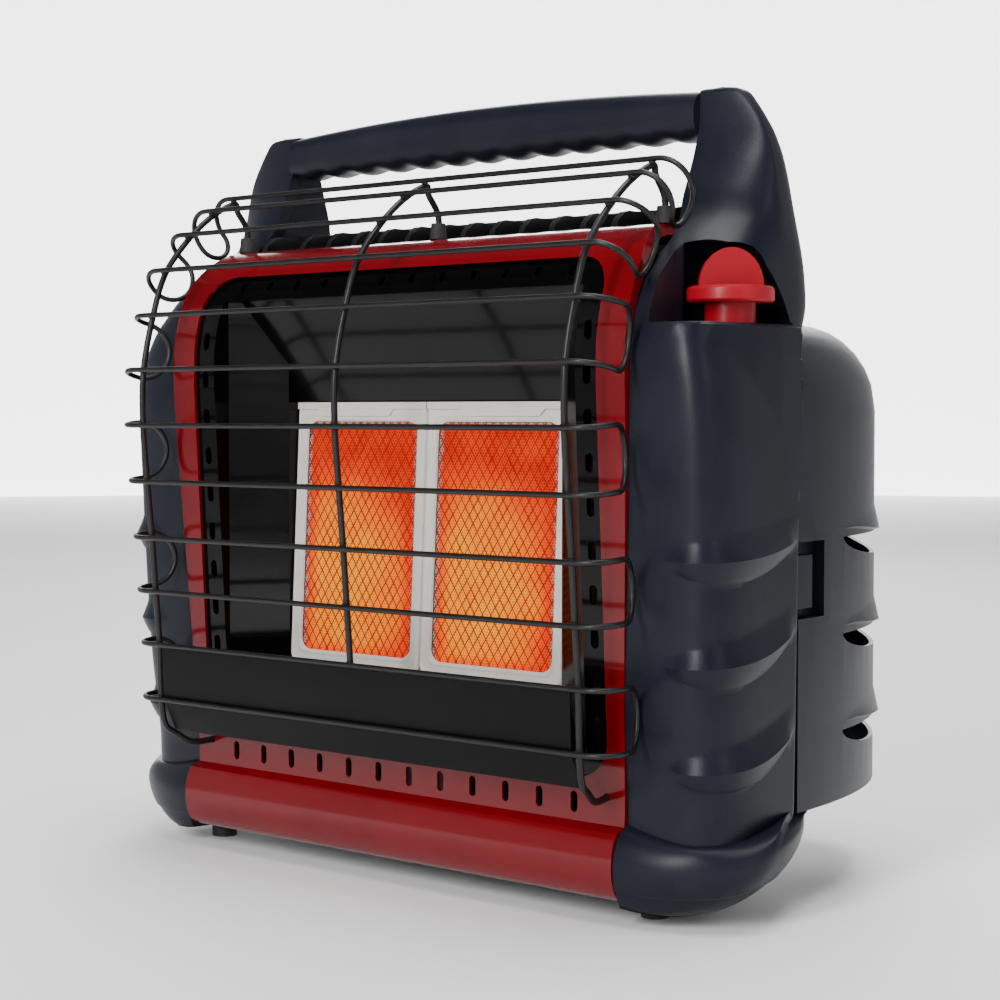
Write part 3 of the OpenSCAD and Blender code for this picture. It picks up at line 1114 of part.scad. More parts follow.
case_shell();
base_pan();
front_panel();
reflector_pan();
top_cover();
vent_deck();
side_panel_right();
side_panel_left();
handle_grip();
handle_rod();
guard_loops();
guard_uprights();
guard_plate();
guard_boots();
burner_plenum();
burner_frames();
tile_right();
tile_left();
tile_screens();
mixer_tubes();
orifices();
gas_manifold();
heat_shield();
gas_valve();
piezo_igniter();
valve_spindle();
control_knob();
knob_stem();
knob_spring();
pilot_bracket();
pilot_burner();
spark_electrode();
thermocouple();
tip_switch();
fan_frame();
fan_motor();
fan_rotor();
rear_grille();
battery_box();
battery_contacts();
battery_door();
switch_housing();
fan_rocker();
swivel_posts();
regulator_right();
regulator_left();
hinge_lugs();
hinge_pins();
door_right();
door_left();
door_hinge_right();
door_hinge_left();
latch_right();
latch_left();
feet();
case_screws();
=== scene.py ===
"""Looks of a portable twin-cylinder propane heater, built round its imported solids.

The frame is the part's own: +Z is up, the front faces -Y and +X is on the right of someone who faces the
front. Sub-assemblies are in millimetres; finishes, lamps and the camera are in metres. Each sub-assembly is
a class with its sizes as fields, and each finish is a small frozen class.
"""

import json
import logging
import math
from dataclasses import dataclass, field
from enum import Enum
from functools import reduce
from typing import Any, Dict, Iterable, List, Optional, Sequence, Tuple

import bmesh
import bpy
import numpy as np
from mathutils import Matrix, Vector

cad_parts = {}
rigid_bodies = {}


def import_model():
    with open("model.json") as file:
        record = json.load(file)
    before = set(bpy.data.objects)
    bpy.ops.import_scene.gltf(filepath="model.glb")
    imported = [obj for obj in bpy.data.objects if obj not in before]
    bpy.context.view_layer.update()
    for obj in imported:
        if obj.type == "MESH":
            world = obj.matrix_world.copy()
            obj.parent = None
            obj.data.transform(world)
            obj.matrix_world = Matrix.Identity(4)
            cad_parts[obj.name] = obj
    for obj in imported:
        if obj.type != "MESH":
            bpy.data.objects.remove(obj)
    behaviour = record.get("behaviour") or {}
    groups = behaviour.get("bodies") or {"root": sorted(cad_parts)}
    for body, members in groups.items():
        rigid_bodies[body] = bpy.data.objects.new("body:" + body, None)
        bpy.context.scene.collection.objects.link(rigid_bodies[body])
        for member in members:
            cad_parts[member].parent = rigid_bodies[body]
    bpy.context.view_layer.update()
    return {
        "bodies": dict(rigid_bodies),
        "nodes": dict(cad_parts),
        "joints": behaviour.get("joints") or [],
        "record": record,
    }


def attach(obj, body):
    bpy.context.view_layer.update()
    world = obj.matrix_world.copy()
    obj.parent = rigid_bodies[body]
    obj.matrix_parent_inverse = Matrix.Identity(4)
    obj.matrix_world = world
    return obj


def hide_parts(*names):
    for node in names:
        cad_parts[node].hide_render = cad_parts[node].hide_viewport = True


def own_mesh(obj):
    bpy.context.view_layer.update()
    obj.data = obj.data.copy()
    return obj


LOG = logging.getLogger("heater")
MM = 0.001  # metres in a millimetre
METRE = 1000.0  # millimetres in a metre
MERGE = 1e-6  # metres within which two corners become one
Pair = Tuple[float, float]
Triple = Tuple[float, float, float]


# ---------------------------------------------------------------- shader maths

# sockets of a Mix node that is set to colours
MIX_SHARE, MIX_A, MIX_B, MIX_RESULT = 0, 6, 7, 2


class Wire:
    """One shader socket that takes part in Python expressions."""

    def __init__(self, net: "Net", socket: Any) -> None:
        """Keep the material's net and the output socket.

        Args:
            net: the node net that the socket belongs to.
            socket: the output socket.
        """
        self.net = net
        self.socket = socket

    def _math(self, operation: str, *values: Any) -> "Wire":
        """Add one Math node and return its result."""
        return self.net.add("ShaderNodeMath", {"operation": operation}, dict(enumerate(values)))

    def __add__(self, other: Any) -> "Wire":
        """Sum."""
        return self._math("ADD", self, other)

    __radd__ = __add__

    def __sub__(self, other: Any) -> "Wire":
        """Difference."""
        return self._math("SUBTRACT", self, other)

    def __rsub__(self, other: Any) -> "Wire":
        """Difference, the other way round."""
        return self._math("SUBTRACT", other, self)

    def __mul__(self, other: Any) -> "Wire":
        """Product."""
        return self._math("MULTIPLY", self, other)

    __rmul__ = __mul__

    def __truediv__(self, other: Any) -> "Wire":
        """Quotient."""
        return self._math("DIVIDE", self, other)

    def __rtruediv__(self, other: Any) -> "Wire":
        """Quotient, the other way round."""
        return self._math("DIVIDE", other, self)

    def __pow__(self, other: Any) -> "Wire":
        """Power."""
        return self._math("POWER", self, other)

    def __abs__(self) -> "Wire":
        """Size without sign."""
        return self._math("ABSOLUTE", self)

    def over(self, edge: Any) -> "Wire":
        """1 where the value is above edge, else 0."""
        return self._math("GREATER_THAN", self, edge)

    def least(self, other: Any) -> "Wire":
        """The smaller of two values."""
        return self._math("MINIMUM", self, other)

    def root(self) -> "Wire":
        """Square root."""
        return self._math("SQRT", self)

    def round(self) -> "Wire":
        """Nearest whole number."""
        return self._math("ROUND", self)

    def ease(self, low: float, high: float, start: float = 0.0, end: float = 1.0) -> "Wire":
        """Smooth step from start at low to end at high.

        Args:
            low: value at which the step begins.
            high: value at which it ends.
            start: result below low.
            end: result above high.

        Returns:
            The stepped value.
        """
        return self.net.add(
            "ShaderNodeMapRange",
            {"interpolation_type": "SMOOTHSTEP", "clamp": True},
            {"Value": self, "From Min": low, "From Max": high, "To Min": start, "To Max": end},
        )


class Net:
    """The node net of one material."""

    def __init__(self, name: str) -> None:
        """Start an empty material.

        Args:
            name: the material's name.
        """
        self.material = bpy.data.materials.new(name)
        self.material.use_nodes = True
        self.tree = self.material.node_tree
        self.tree.nodes.clear()
        self._place: Optional[Wire] = None

    def add(self, kind: str, settings: Dict[str, Any], values: Dict[Any, Any], out: Any = 0) -> Wire:
        """Add any node.

        Args:
            kind: the node's type.
            settings: its properties, set before the sockets; "stops" sets a ramp's stops.
            values: numbers, colours or wires by socket name or number.
            out: name or number of the output that is returned.

        Returns:
            The chosen output.
        """
        node = self.tree.nodes.new(kind)
        for key, value in settings.items():
            if key == "stops":
                ramp = node.color_ramp
                while len(ramp.elements) > 1:
                    ramp.elements.remove(ramp.elements[-1])
                for i, (place, colour) in enumerate(value):
                    stop = ramp.elements[0] if i == 0 else ramp.elements.new(place)
                    stop.position = place
                    stop.color = (*colour, 1.0)
            else:
                setattr(node, key, value)
        for key, value in values.items():
            socket = node.inputs[key]
            if isinstance(value, Wire):
                self.tree.links.new(value.socket, socket)
            elif socket.type == "RGBA" and len(value) == 3:
                socket.default_value = (*value, 1.0)
            else:
                socket.default_value = value
        return Wire(self, node.outputs[out])

    @property
    def place(self) -> Wire:
        """Object coordinates in metres.

        Returns:
            One wire, the same each time.
        """
        if self._place is None:
            self._place = self.add("ShaderNodeTexCoord", {}, {}, "Object")
        return self._place

    def axes(self) -> Tuple[Wire, Wire, Wire]:
        """X, Y and Z of the object coordinates.

        Returns:
            The three of them.
        """
        node = self.add("ShaderNodeSeparateXYZ", {}, {0: self.place})
        outs = node.socket.node.outputs
        return Wire(self, outs[0]), Wire(self, outs[1]), Wire(self, outs[2])

    def noise(
        self, scale: float, detail: float = 3.0, rough: float = 0.5, place: Optional[Wire] = None
    ) -> Wire:
        """Smooth noise from 0 to 1.

        Args:
            scale: waves per metre.
            detail: number of finer octaves.
            rough: strength of the finer octaves.
            place: where it is read, the object coordinates if left out.

        Returns:
            The noise.
        """
        return self.add(
            "ShaderNodeTexNoise",
            {},
            {"Vector": place or self.place, "Scale": scale, "Detail": detail, "Roughness": rough},
        )

    def mix(self, share: Any, a: Any, b: Any, blend: str = "MIX") -> Wire:
        """Colour a where share is 0 and colour b where it is 1."""
        settings = {"data_type": "RGBA", "blend_type": blend}
        return self.add("ShaderNodeMix", settings, {MIX_SHARE: share, MIX_A: a, MIX_B: b}, MIX_RESULT)

    def stretch(self, sizes: Triple) -> Wire:
        """Object coordinates multiplied by a size along each axis."""
        return self.add("ShaderNodeMapping", {}, {"Vector": self.place, "Scale": sizes})

    def bump(self, height: Wire, depth: float, strength: float = 1.0) -> Wire:
        """Normal that a height from 0 to 1 gives at a depth in metres."""
        return self.add("ShaderNodeBump", {}, {"Height": height, "Distance": depth, "Strength": strength})

    def finish(self, **sockets: Any) -> bpy.types.Material:
        """Close the net with a Principled shader.

        Args:
            **sockets: values by socket name, with underscores for spaces.

        Returns:
            The material.
        """
        values = {key.replace("_", " "): value for key, value in sockets.items()}
        surface = self.add("ShaderNodeBsdfPrincipled", {}, values)
        self.add_output(surface)
        return self.material

    def add_output(self, surface: Wire) -> None:
        """Join a surface to the material's output."""
        node = self.tree.nodes.new("ShaderNodeOutputMaterial")
        self.tree.links.new(surface.socket, node.inputs["Surface"])


# ---------------------------------------------------------------- finishes


class Tone(Enum):
    """Base colours of the heater."""

    CHARCOAL = (0.0062, 0.0072, 0.0135)
    RED = (0.150, 0.0018, 0.0052)
    KNOB_RED = (0.29, 0.0040, 0.0120)
    BLACK = (0.0035, 0.0035, 0.0038)
    WIRE = (0.0032, 0.0032, 0.0035)
    VENT = (0.0090, 0.0090, 0.0098)
    SOOT = (0.0015, 0.0015, 0.0016)
    STEEL = (0.56, 0.555, 0.54)
    FRAME = (0.60, 0.575, 0.53)
    ALLOY = (0.52, 0.53, 0.54)
    BRASS = (0.66, 0.46, 0.18)
    CERAMIC = (0.80, 0.76, 0.68)
    RUBBER = (0.014, 0.014, 0.015)


@dataclass(frozen=True)
class Moulded:
    """Moulded plastic with a fine leathery grain and a soft sheen."""

    name: str
    tone: Tone
    rough: float = 0.42
    grain: float = 0.00010
    scale: float = 1100.0
    sheen: float = 0.24

    def make(self) -> bpy.types.Material:
        """Build the material: grain drives the bump, slow mottling the colour and the roughness.

        Returns:
            The material.
        """
        net = Net(self.name)
        fine = net.noise(self.scale, 2.0, 0.6)
        slow = net.noise(22.0, 3.0, 0.55)
        lighter = tuple(min(1.0, c * 1.25 + 0.002) for c in self.tone.value)
        colour = net.mix(slow.ease(0.3, 0.75), self.tone.value, lighter)
        rough = self.rough + (slow - 0.5) * 0.12 + (fine - 0.5) * 0.1
        return net.finish(
            Base_Color=colour,
            Roughness=rough,
            Specular_IOR_Level=self.sheen,
            Normal=net.bump(fine, self.grain, 0.8),
        )


@dataclass(frozen=True)
class Enamel:
    """Sprayed and baked paint on sheet metal, with a clear gloss and slight orange peel."""

    name: str
    tone: Tone
    rough: float = 0.16
    coat: float = 0.6
    peel: float = 0.00003
    gloss: float = 0.4

    def make(self) -> bpy.types.Material:
        """Build the material: long soft waves tilt the gloss, a faint haze lifts the roughness.

        Returns:
            The material.
        """
        net = Net(self.name)
        peel = net.noise(420.0, 2.0, 0.5)
        haze = net.noise(14.0, 4.0, 0.6)
        deeper = tuple(c * 0.82 for c in self.tone.value)
        colour = net.mix(haze.ease(0.25, 0.8), deeper, self.tone.value)
        return net.finish(
            Base_Color=colour,
            Specular_IOR_Level=self.gloss,
            Roughness=self.rough + haze.ease(0.4, 0.8) * 0.05,
            Coat_Weight=self.coat,
            Coat_Roughness=0.06,
            Normal=net.bump(peel, self.peel, 0.5),
        )


@dataclass(frozen=True)
class WirePaint:
    """Satin powder coat on wire and small black ironwork."""

    name: str
    tone: Tone
    rough: float = 0.38

    def make(self) -> bpy.types.Material:
        """Build the material: a fine powder texture with slightly paler worn patches.

        Returns:
            The material.
        """
        net = Net(self.name)
        powder = net.noise(2600.0, 2.0, 0.6)
        slow = net.noise(60.0, 3.0, 0.5)
        paler = tuple(c * 1.5 + 0.001 for c in self.tone.value)
        colour = net.mix(slow.ease(0.45, 0.8), self.tone.value, paler)
        return net.finish(
            Base_Color=colour,
            Roughness=self.rough + (slow - 0.5) * 0.15,
            Coat_Weight=0.05,
            Specular_IOR_Level=0.35,
            Normal=net.bump(powder, 0.00002, 0.5),
        )


@dataclass(frozen=True)
class BareMetal:
    """Rolled, drawn or cast metal: streaks along one axis and a blotchy patina."""

    name: str
    tone: Tone
    rough: float = 0.32
    streak: Triple = (30.0, 900.0, 900.0)
    patina: float = 0.25

    def make(self) -> bpy.types.Material:
        """Build the material: stretched noise makes the rolling lines, slow noise the patina.

        Returns:
            The material.
        """
        net = Net(self.name)
        lines = net.noise(1.0, 4.0, 0.6, net.stretch(self.streak))
        blotch = net.noise(35.0, 4.0, 0.6)
        darker = tuple(c * (1.0 - self.patina) for c in self.tone.value)
        colour = net.mix(blotch.ease(0.3, 0.7), darker, self.tone.value)
        return net.finish(
            Base_Color=colour,
            Metallic=1.0,
            Roughness=self.rough + (lines - 0.5) * 0.25 + (blotch - 0.5) * 0.1,
            Normal=net.bump(lines, 0.00002, 0.4),
        )


@dataclass(frozen=True)
class PressedFrame:
    """Pale heat-stained pressed frame round the tiles."""

    name: str
    tone: Tone
    stain: Triple = (0.86, 0.78, 0.68)

    def make(self) -> bpy.types.Material:
        """Build the material: a chalky coat with browner blotches.

        Returns:
            The material.
        """
        net = Net(self.name)
        blotch = net.noise(70.0, 4.0, 0.65)
        stain = tuple(c * f for c, f in zip(self.tone.value, self.stain))
        colour = net.mix(blotch.ease(0.45, 0.8) * 0.6, self.tone.value, stain)
        fine = net.noise(1800.0, 2.0, 0.5)
        rough = 0.52 + (blotch - 0.5) * 0.2
        return net.finish(Base_Color=colour, Roughness=rough, Normal=net.bump(fine, 0.00003, 0.4))


@dataclass(frozen=True)
class GlowTile:
    """Perforated ceramic plaque alight, its places in metres.

    The tiles reach from inner to half on both sides of the middle, and from low to high. Dot is the pitch
    of the holes and row the height of a row of them as a share of it. Patch is the middle of the hottest
    patch and spread its half sizes, both as x from the tile's left edge and z.
    """

    name: str
    half: float
    inner: float
    low: float
    high: float
    dot: float = 0.00182
    row: float = 0.866
    patch: Pair = (0.030, 0.160)
    spread: Pair = (0.060, 0.062)

    def make(self) -> bpy.types.Material:
        """Build the material.

        The holes are dark rounds on a triangular net. Heat is red at the top edge and amber in a cloudy
        patch that lies low on the left of each tile, and the rim stays unlit.

        Returns:
            The material.
        """
        net = Net(self.name)
        x, _, z = net.axes()
        b = z / (self.dot * self.row)
        a = x / self.dot - b * 0.5
        da, db = a - a.round(), b - b.round()
        hole = ((da * da) + (db * db) + (da * db)).root().ease(0.20, 0.34, 1.0, 0.0)
        side = (abs(x) - self.inner).least(self.half - abs(x))
        end = (z - self.low).least(self.high - z)
        cloud = net.noise(45.0, 3.0, 0.55)
        speck = net.noise(700.0, 1.0, 0.5)
        rim = side.least(end) + (cloud - 0.5) * 0.004 + (speck - 0.5) * 0.003
        lit = rim.ease(0.0028, 0.0068)
        left = x + self.half - x.over(0.0) * (self.half + self.inner)
        (px, pz), (wide, tall) = self.patch, self.spread
        away = (abs(left - px) / wide) ** 2.0 + (abs(z - pz) / tall) ** 2.0
        heat = (away.ease(0.0, 1.6, 0.80, 0.12) + (cloud - 0.5) * 0.55) * rim.ease(0.002, 0.016, 0.35, 1.0)
        glow = net.add(
            "ShaderNodeValToRGB",
            {"stops": [(0.0, (0.52, 0.006, 0.0)), (0.3, (0.80, 0.045, 0.0)), (0.6, (0.95, 0.16, 0.002)),
                       (1.0, (1.0, 0.42, 0.010))]},
            {"Fac": heat},
        )
        spots = net.mix(hole * 0.8, (1.12, 1.16, 1.2), (0.42, 0.22, 0.16))
        light = net.mix(1.0, glow, spots, "MULTIPLY")
        cold = net.mix(hole, (0.40, 0.33, 0.26), (0.06, 0.045, 0.035))
        return net.finish(
            Base_Color=net.mix(lit, cold, (0.02, 0.004, 0.002)),
            Roughness=0.9,
            Specular_IOR_Level=0.05,
            Emission_Color=net.mix(lit, (0.0, 0.0, 0.0), light),
            Emission_Strength=1.45,
            Normal=net.bump(1.0 - hole * 0.6, 0.0005, 0.7),
        )


@dataclass(frozen=True)
class HotWire:
    """Wire lattice that glows a dull dark red."""

    name: str

    def make(self) -> bpy.types.Material:
        """Build the material: scaly metal whose glow follows a slow noise.

        Returns:
            The material.
        """
        net = Net(self.name)
        scale = net.noise(90.0, 3.0, 0.6)
        fine = net.noise(1500.0, 2.0, 0.6)
        glow = net.mix(scale.ease(0.3, 0.7), (0.26, 0.006, 0.001), (0.46, 0.024, 0.003))
        return net.finish(
            Base_Color=net.mix(fine, (0.03, 0.008, 0.004), (0.06, 0.018, 0.01)),
            Specular_IOR_Level=0.1,
            Roughness=0.6 + (fine - 0.5) * 0.2,
            Emission_Color=glow,
            Emission_Strength=0.9,
        )


@dataclass(frozen=True)
class Rubber:
    """Matt black rubber, slightly dusty."""

    name: str
    tone: Tone

    def make(self) -> bpy.types.Material:
        """Build the material: dust as slow noise on colour and roughness.

        Returns:
            The material.
        """
        net = Net(self.name)
        dust = net.noise(120.0, 4.0, 0.6)
        colour = net.mix(dust.ease(0.45, 0.85), self.tone.value, tuple(c * 2.4 for c in self.tone.value))
        rough = 0.72 + (dust - 0.5) * 0.2
        return net.finish(Base_Color=colour, Roughness=rough, Normal=net.bump(dust, 0.00005, 0.4))


@dataclass(frozen=True)
class Glazed:
    """Glazed white insulator."""

    name: str
    tone: Tone

    def make(self) -> bpy.types.Material:
        """Build the material: a creamy glaze with faint crazing.

        Returns:
            The material.
        """
        net = Net(self.name)
        craze = net.noise(300.0, 5.0, 0.7)
        colour = net.mix(craze.ease(0.5, 0.8) * 0.4, self.tone.value, (0.55, 0.48, 0.38))
        return net.finish(Base_Color=colour, Roughness=0.22 + (craze - 0.5) * 0.1, Coat_Weight=0.4)


@dataclass
class Finishes:
    """All finishes by name."""

    made: Dict[str, bpy.types.Material] = field(default_factory=dict)

    def build(self, tiles: GlowTile) -> None:
        """Make every material.

        Args:
            tiles: the glowing finish, which knows where the tiles are.
        """
        kinds = [
            Moulded("charcoal_plastic", Tone.CHARCOAL, 0.36, sheen=0.18),
            Moulded("handle_plastic", Tone.CHARCOAL, 0.36, 0.00005, 1300.0),
            Moulded("black_plastic", Tone.BLACK, 0.5),
            Moulded("red_plastic", Tone.KNOB_RED, 0.34, 0.00004, 1800.0),
            Enamel("red_enamel", Tone.RED, 0.15, 0.30, 0.00002, 0.18),
            Enamel("black_enamel", Tone.SOOT, 0.12, 0.08, 0.00004, 0.14),
            Enamel("black_steel", Tone.BLACK, 0.34, 0.2),
            WirePaint("guard_wire", Tone.WIRE, 0.42),
            Enamel("guard_sheet", Tone.SOOT, 0.45, 0.0, 0.00004, 0.13),
            Enamel("vent_enamel", Tone.VENT, 0.30, 0.55, 0.00003, 0.32),
            HotWire("hot_mesh"),
            BareMetal("aluminised_steel", Tone.STEEL, 0.38),
            BareMetal("zinc_steel", Tone.ALLOY, 0.26, (900.0, 30.0, 900.0), 0.15),
            BareMetal("spring_steel", Tone.ALLOY, 0.22, (900.0, 900.0, 60.0), 0.3),
            BareMetal("cast_aluminium", Tone.ALLOY, 0.46, (700.0, 700.0, 700.0), 0.18),
            BareMetal("brass", Tone.BRASS, 0.3, (900.0, 900.0, 40.0), 0.3),
            PressedFrame("burner_frame", Tone.FRAME),
            Glazed("white_ceramic", Tone.CERAMIC),
            Rubber("black_rubber", Tone.RUBBER),
            tiles,
        ]
        for kind in kinds:
            self.made[kind.name] = kind.make()
            LOG.info("finish %s", kind.name)

    def dress(self, piece: bpy.types.Object, name: str) -> None:
        """Give a piece one finish all over."""
        piece.data.materials.clear()
        piece.data.materials.append(self.made[name])


# ---------------------------------------------------------------- numpy shapes, in millimetres


def knots(table: Sequence[Pair], z: np.ndarray) -> np.ndarray:
    """Value at every z of a curve given as (z, value) knots, straight between them."""
    places, values = np.array(table, float).T
    return np.interp(z, places, values)


def eased(table: Sequence[Pair], z: np.ndarray, width: float = 5.0) -> np.ndarray:
    """Value at every z of a knot curve whose bends are rounded.

    The curve is averaged under a bell of the given width, so each bend becomes a soft one.

    Args:
        table: the knots as (z, value).
        z: heights.
        width: width of the bell.

    Returns:
        The values, shaped as z.
    """
    steps = np.linspace(-2.0, 2.0, 17)
    bell = np.exp(-(steps**2))
    low, high = table[0][0], table[-1][0]
    near = np.minimum(width, np.minimum(abs(z - low), abs(high - z)) / 2.0 + 1e-6)
    return sum(w * knots(table, z + s * near) for s, w in zip(steps, bell)) / bell.sum()


def smooth(t: np.ndarray) -> np.ndarray:
    """Smooth step of t from 0 to 1: 3 t squared less 2 t cubed."""
    t = np.clip(t, 0.0, 1.0)
    return t * t * (3 - 2 * t)


def strips(rows: int, cols: int, round_rows: bool = False, round_cols: bool = True) -> np.ndarray:
    """Four-sided faces of a grid of points.

    Args:
        rows: number of rows.
        cols: points in a row.
        round_rows: whether the last row joins the first.
        round_cols: whether each row closes on itself.

    Returns:
        Corner numbers, one face a line.
    """
    last_row = rows if round_rows else rows - 1
    last_col = cols if round_cols else cols - 1
    i, j = np.meshgrid(np.arange(last_row), np.arange(last_col), indexing="ij")
    i, j = i.ravel(), j.ravel()
    k, m = (i + 1) % rows, (j + 1) % cols
    return np.stack([i * cols + j, i * cols + m, k * cols + m, k * cols + j], 1)


@dataclass
class Shape:
    """Points in millimetres and faces of one closed or open surface."""

    points: np.ndarray
    faces: List[Sequence[int]]

    @classmethod
    def loft(cls, grid: np.ndarray) -> "Shape":
        """Closed tube through rings: ring by ring, round each ring, with flat ends.

        Args:
            grid: points, one ring a row.

        Returns:
            The shape.
        """
        rows, cols = grid.shape[:2]
        faces: List[Sequence[int]] = strips(rows, cols).tolist()
        faces.append(list(range(cols - 1, -1, -1)))
        faces.append([(rows - 1) * cols + j for j in range(cols)])
        return cls(grid.reshape(-1, 3), faces)

    @classmethod
    def ring(cls, grid: np.ndarray) -> "Shape":
        """Tube whose last ring joins its first."""
        return cls(grid.reshape(-1, 3), strips(*grid.shape[:2], round_rows=True).tolist())

    @classmethod
    def slab(cls, near: np.ndarray, far: np.ndarray) -> "Shape":
        """Closed block between two sheets of points of the same layout.

        Args:
            near: first sheet, seen from outside with rows up and columns to the right.
            far: second sheet behind it.

        Returns:
            The shape.
        """
        rows, cols = near.shape[:2]
        count = rows * cols
        front = strips(rows, cols, False, False)
        bottom, right = np.arange(cols), np.arange(1, rows) * cols + cols - 1
        top, left = (rows - 1) * cols + np.arange(cols - 2, -1, -1), np.arange(rows - 2, 0, -1) * cols
        border = np.concatenate([bottom, right, top, left])
        after = np.roll(border, -1)
        side = np.stack([border, border + count, after + count, after], 1)
        faces = np.concatenate([front, front[:, ::-1] + count, side])
        return cls(np.concatenate([near.reshape(-1, 3), far.reshape(-1, 3)]), faces.tolist())

    def __add__(self, other: "Shape") -> "Shape":
        """Both shapes in one.

        Args:
            other: the second shape.

        Returns:
            The two together.
        """
        shift = len(self.points)
        return Shape(np.concatenate([self.points, other.points]),
                     list(self.faces) + [[k + shift for k in face] for face in other.faces])

    def outward(self) -> "Shape":
        """The closed shape with its faces pointing out: the signed volume of its corner fans tells the way.

        Returns:
            This shape, or one with every face turned round.
        """
        fans = np.array([(f[0], f[k], f[k + 1]) for f in self.faces for k in range(1, len(f) - 1)])
        a, b, c = self.points[fans[:, 0]], self.points[fans[:, 1]], self.points[fans[:, 2]]
        if np.einsum("ij,ij->", a, np.cross(b, c)) < 0:
            return Shape(self.points, [list(face)[::-1] for face in self.faces])
        return self

    def mirrored(self) -> "Shape":
        """The shape on the other side of the middle, its faces turned the right way again."""
        return Shape(self.points * (-1, 1, 1), [list(face)[::-1] for face in self.faces])


def joined(shapes: Sequence[Shape]) -> Shape:
    """All shapes in one, in their order."""
    return reduce(Shape.__add__, shapes)


def tube(path: np.ndarray, radius: float, sides: int, first: Triple, closed: bool = False) -> Shape:
    """Round wire along a path.

    The ring's frame is carried along without twist: at each point the last normal loses its share along the
    new tangent. A point of the wire is the path plus radius times cos a of the normal and sin a of the
    binormal.

    Args:
        path: points along the wire.
        radius: radius of the wire.
        sides: points round it.
        first: a direction that is not along the path's start.
        closed: whether the path closes on itself.

    Returns:
        The wire.
    """
    if closed:
        along = np.roll(path, -1, 0) - np.roll(path, 1, 0)
    else:
        along = np.gradient(path, axis=0)
    along /= np.linalg.norm(along, axis=1, keepdims=True)
    normal = np.array(first, float)
    normals = []
    for tangent in along:
        normal = normal - tangent * (normal @ tangent)
        normal /= np.linalg.norm(normal)
        normals.append(normal)
    across = np.array(normals)
    third = np.cross(along, across)
    angle = np.linspace(0, 2 * math.pi, sides, endpoint=False)
    grid = path[:, None] + radius * (np.cos(angle)[None, :, None] * across[:, None]
                                     + np.sin(angle)[None, :, None] * third[:, None])
    return Shape.ring(grid) if closed else Shape.loft(grid)


def lathe(profile: Sequence[Pair], centre: Triple, sides: int = 64) -> Shape:
    """Turned solid: each point of the profile goes round the upright axis through the centre.

    Args:
        profile: points as (radius, height), from the foot up.
        centre: foot of the axis.
        sides: points round it.

    Returns:
        The solid.
    """
    radius, height = np.array(profile, float).T
    angle = np.linspace(0, 2 * math.pi, sides, endpoint=False)
    x, y = centre[0] + np.outer(radius, np.cos(angle)), centre[1] + np.outer(radius, np.sin(angle))
    z = centre[2] + np.repeat(height[:, None], sides, 1)
    return Shape.loft(np.stack([x, y, z], 2))


# ---------------------------------------------------------------- workshop


